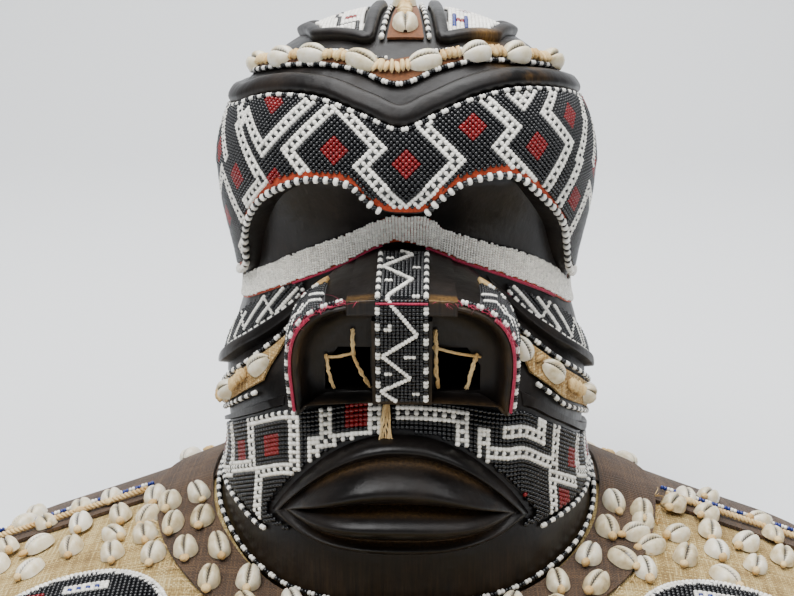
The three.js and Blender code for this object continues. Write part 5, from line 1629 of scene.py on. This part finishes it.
def clothTop(angle, inward):
    return lifted(collar, angle, inward, layerRise(angle))


def fromNeck(angle, distance):
    a, b = collar(angle, 0.0), collar(angle, 100.0)
    length = np.hypot(a[..., 0], a[..., 1]) - np.hypot(b[..., 0], b[..., 1])
    return angle, 100 * (1 - distance / length)


def onCollar(x, y):
    angle = np.degrees(np.arctan2(x, -y))
    neck = collar(angle, 100.0)
    return clothTop(*fromNeck(angle, np.hypot(x, y) - np.hypot(neck[..., 0], neck[..., 1])))


onTable = {"top": 0.0, "thickness": 2.0, "held": "laid", "on": ["wooden_helmet"]}
frontCut, rearCut = onTable | {"cut": (0.66, 0.42)}, onTable | {"cut": (0.62, 0.30)}
bandCut = {"top": 2.3, "thickness": 1.8, "cut": (0.34, 0.36), "held": "laid", "on": ["front_collar_panel"]}
layCloth("frontCollar", "front_collar_panel", collar, levelLine(-96, 96, 0), levelLine(-96, 96, 100),
         np.linspace(0, 1, 190), 60, tanCloth, "tan_cloth", frontCut)
layCloth("rearCollar", "back_collar_panel", clothTop, levelLine(84, 276, 0), levelLine(84, 276, 100),
         np.linspace(0, 1, 190), 60, brownCloth, "brown_cloth", rearCut)
bandBed = raised(clothTop, 1)


def neckRing(distance, start=-180, end=180):
    return lambda t: fromNeck(mix(start, end, t), distance)


# a closed ring of brown cloth, under the two rows of cowries
layCloth("neckCloth", "neck_cloth_band", bandBed, neckRing(collarForm["band"] + 3), neckRing(3),
         np.linspace(0, 1, 240, endpoint=False), 14, brownCloth, "brown_cloth", bandCut, ring=True)
bandTop = raised(raised(bandBed, 2.3), 0.3)
towardsView = np.array([0.0, -1.0, 0.15])


def ringSpots(distance, count, spread, reach=80):
    place = fromNeck(mix(-reach, reach, (np.arange(count) + 0.5) / count), distance)
    return spotsToward(bandTop, place[0], place[1], 0.3, towardsView, spread)


# of each row: its distance from the neck in mm, its shells, and their spread in degrees
neckRows = {"inner": (12.5, 13, 18), "outer": (31.5, 15, 22)}
rearRow = {"distance": 54, "from": 112, "to": 248, "count": 9}
looseDisc = (5.5, 6.5, 5.0)
innerSpots, outerSpots = ringSpots(*neckRows["inner"]), ringSpots(*neckRows["outer"])
cowriePiece("innerNeckCowries", "inner_neck_cowrie_string", innerSpots, (21, 15, 8.6))
cowriePiece("outerNeckCowries", "outer_neck_cowrie_string", outerSpots)


def nearEnds(spots, reach):
    # Places just beyond the end of each shell that faces the camera
    centre, ahead, normal = spots
    return centre + ahead * reach, np.cross(normal, ahead), normal


knotPiece("neckKnots", None, joinedSpots(nearEnds(innerSpots, 11), nearEnds(outerSpots, 11.5)), looseDisc)

sprayPlaces = {
    "left": [
        (-89.5, 0.57), (-90, 0.45), (-78.5, 0.35), (-81.5, 0.23), (-73.5, 0.24), (-87, 0.69), (-80.5, 0.50),
        (-71.5, 0.36), (-66.5, 0.25), (-58, 0.24), (-77.5, 0.63), (-72.5, 0.50), (-81, 0.77), (-96.5, 0.88),
        (-64.5, 0.36), (-91, 0.83), (-84.5, 0.90), (-75.5, 0.76), (-70, 0.63),
    ],
    "right": [
        (71.5, 0.17), (83.5, 0.30), (90.5, 0.38), (84.5, 0.43), (72, 0.29), (78, 0.41), (63.5, 0.21), (65, 0.32),
        (71.5, 0.42), (78, 0.54), (91, 0.70), (85, 0.68), (55, 0.22), (63.5, 0.45), (71.5, 0.55), (77.5, 0.66),
        (97, 0.55), (84, 0.82), (76, 0.78),
    ],
}
for sideName, places in sprayPlaces.items():
    places = np.array(places)
    spots = spotsToward(clothTop, places[:, 0], 100 * (1 - places[:, 1]), 0.5, towardsView, 24)
    cowriePiece(f"{sideName}CollarCowries", f"{sideName}_collar_cowrie_string", spots)
    knotPiece(f"{sideName}CollarKnots", None, nearEnds(spots, 12), looseDisc)

ringPath, rearBed = neckRing(rearRow["distance"], rearRow["from"], rearRow["to"]), raised(clothTop, 1)
cowriePiece("rearCowries", "back_collar_cowrie_string", evenPath(rearBed, ringPath, 0.4, count=rearRow["count"]))
rearShares = (np.arange(rearRow["count"]) + 0.5) / rearRow["count"]
knotPiece("rearKnots", None, strungRow(rearBed, ringPath, rearShares, 0.4, 4)[1])

medallion = {
    "at": {"left": (-202, -165), "right": (202, -165)}, "half": (62, 54), "pitch": 2.9, "bead": (2.7, 3.0),
    "rims": (1.6, 4.4),
    "bands": {
        "left": [[(-30, -12), (-12, 10), (6, -12), (26, 12), (44, -4)], [(-46, 6), (-34, 24)],
                 [(-6, 30), (14, 44)]],
        "right": [[(-40, -4), (-22, 12), (-4, -12), (14, 10), (34, -12)], [(34, 24), (46, 6)],
                  [(-16, 44), (6, 30)]],
    },
    "squares": {"left": [(-20, -16), (10, 12), (34, -14), (-30, 30)],
                "right": [(20, -16), (-10, 12), (-34, -14), (30, 30)]},
}


def medallionBeads(sideName, node):
    # Beads in straight rows inside a white rim, on an oval pad
    centreX, centreY = medallion["at"][sideName]
    halfX, halfY = medallion["half"]
    pitch = medallion["pitch"]
    i, j = np.meshgrid(np.arange(-24, 25), np.arange(-22, 23))
    x, y = (i * pitch).ravel().astype(float), (j * pitch).ravel().astype(float)
    inside = (x / (halfX - 4)) ** 2 + (y / (halfY - 4)) ** 2 < 1
    x, y = x[inside], y[inside]
    spec = medallion | {"squareReach": 2, "dots": blue, "slanting": False}
    spec |= {"bands": medallion["bands"][sideName], "squares": medallion["squares"][sideName]}
    colours = bandPattern(np.stack([x, y + pitch / 2], -1), np.array, spec)
    bed = raised(onCollar, 1)
    spots = spotsOf(bed, x + centreX, y + centreY, 1.9)
    beadPiece(f"{sideName}MedallionBeads", node, "medallion_beads", spots, colours, medallion["bead"])
    for k, inset in enumerate(medallion["rims"]):
        beadString(f"{sideName}MedallionRim{k}", None, bed,
                   lambda t, r=inset: (centreX + (halfX - r) * np.cos(2 * np.pi * t),
                                       centreY + (halfY - r) * np.sin(2 * np.pi * t)),
                   (2.7, 3.1), (white,), 2.85, 1.7, "medallion_beads")
    turn = np.linspace(0, 2 * np.pi, 96, endpoint=False)[None, :]
    share = np.linspace(1, 0.03, 12)[:, None]
    grid = centreX + halfX * share * np.cos(turn), centreY + halfY * share * np.sin(turn)
    pad = capped(np.concatenate([lifted(onCollar, *grid, 0.6)[::-1], lifted(onCollar, *grid, 1.6)]))
    newPiece(f"{sideName}MedallionPad", *pad, [underCloth], "medallion_beads")


for sideName in sideLines:
    medallionBeads(sideName, f"{sideName}_bead_medallion")


def ropePiece(name, node, surface, path, radius, turns, count=420):
    # Two strands laid round each other
    t = np.linspace(0, 1, count)
    normal = normalsOf(surface, *path(t))
    core = lifted(surface, *path(t), radius * 1.05 + 0.5)
    side = np.cross(normal, unit(np.gradient(core, axis=0)))
    bodies = []
    for strand in (0, np.pi):
        turn = (turns * 2 * np.pi * t + strand)[:, None]
        points = core + (side * np.cos(turn) + normal * np.sin(turn)) * radius * 0.48
        bodies.append(sweep(points, normal, roundSection(radius * 1.1, radius * 1.1, 7)))
    newPiece(name, *joined(bodies), [raffia], "raffia", node, sharp=80)


rope = {"radius": 2.4, "turns": 22}


def upCollar(angle):
    return lambda t: (angle + 0 * t, mix(3, 72, t))


for sideName, sign, edge in (("left", -1, 276), ("right", 1, 84)):
    ropePiece(f"{sideName}LayerRope", f"{sideName}_layer_rope", clothTop, upCollar(edge + 3 * sign), *rope.values())
    beadString(f"{sideName}LayerBeads", f"{sideName}_layer_bead_string", raised(clothTop, 0.5),
               upCollar(edge + 7 * sign), (2.2, 3.2), (white, white, blue, blue), 2.4)

fringe = {"count": 150, "reach": 88, "from": 40.5, "length": 9.0, "width": 0.8, "curl": 0.6}
edgePlaces = fromNeck(fringe["reach"] * (2 * dice.random(fringe["count"]) - 1),
                      fringe["from"] + 3 * dice.random(fringe["count"]))
edgeSpots = turned(spotsOf(clothTop, *edgePlaces, 0.5), -90 + 40 * dice.standard_normal(fringe["count"]))
fibres("collarFringe", edgeSpots, fringe["length"], fringe["width"], fringe["curl"], raffia, "raffia")
print("collar dressed")

# Camera: a little above and a little to the wearer's left, towards the face
view = {"target": (-6.5, 0.0, 185.0), "distance": 1100.0, "elevation": 15.0, "turn": 1.3, "lens": 73.8}
lift, turn = math.radians(view["elevation"]), math.radians(view["turn"])
way = np.array([math.sin(turn) * math.cos(lift), -math.cos(turn) * math.cos(lift), math.sin(lift)])
camera = inScene("camera", bpy.data.cameras.new("camera"))
camera.location = toScene(np.array(view["target"]) + view["distance"] * way)[0]
camera.rotation_euler = (math.radians(90) - lift, 0, turn)
camera.data.lens = view["lens"]
camera.data.clip_start, camera.data.clip_end = 0.05, 50
bpy.context.scene.camera = camera

# A pale floor that bends up into a wall behind the mask, and the lights
room = {"front": -6.0, "bend": 1.6, "radius": 0.9, "height": 4.0, "half": 6.0}
turns = np.linspace(0, np.pi / 2, 17)
profile = np.concatenate([
    [[room["front"], 0.0]],
    np.stack([room["bend"] + room["radius"] * np.sin(turns), room["radius"] * (1 - np.cos(turns))], -1),
    [[room["bend"] + room["radius"], room["height"]]]])
corners = np.concatenate([np.insert(profile, 0, side * room["half"], axis=1) for side in (-1, 1)])
k = np.arange(len(profile) - 1)
floorMesh = bpy.data.meshes.new("floor")
quads = np.stack([k + len(profile), k + len(profile) + 1, k + 1, k], -1)
floorMesh.from_pydata(corners.tolist(), [], quads.tolist())
floorMesh.polygons.foreach_set("use_smooth", np.ones(len(k), bool))
floorMesh.materials.append(newMaterial("PaleFloor", {"Base Color": linearColour("#dcdee0"), "Roughness": 0.8})[0])
inScene("floor", floorMesh)

studio = {
    "key": {"at": (-0.8, -1.0, 2.2), "towards": (0, 0.05, 0.2), "size": 1.3, "power": 62.0},
    "fill": {"at": (1.3, -0.9, 2.0), "towards": (0, 0.05, 0.2), "size": 1.4, "power": 26.0},
    "top": {"at": (0.1, 0.5, 2.0), "towards": (0, 0.05, 0.2), "size": 1.6, "power": 30.0},
    "wall": {"at": (0.0, 0.6, 2.6), "towards": (0, 2.4, 0.8), "size": 2.2, "power": 95.0},
}
for name, lamp in studio.items():
    light = bpy.data.lights.new(name, "AREA")
    light.energy, light.size = lamp["power"], lamp["size"]
    holder = inScene(name, light)
    holder.location = lamp["at"]
    aim = np.array(lamp["towards"]) - np.array(lamp["at"])
    flatReach = math.hypot(aim[0], aim[1])
    holder.rotation_euler = (math.atan2(flatReach, -aim[2]), 0, math.atan2(aim[1], aim[0]) - math.pi / 2)
world = bpy.data.worlds.new("studio")
bpy.context.scene.world = world
world.use_nodes = True
for key, value in {"Color": linearColour("#dfe3e8"), "Strength": 0.22}.items():
    world.node_tree.nodes["Background"].inputs[key].default_value = value
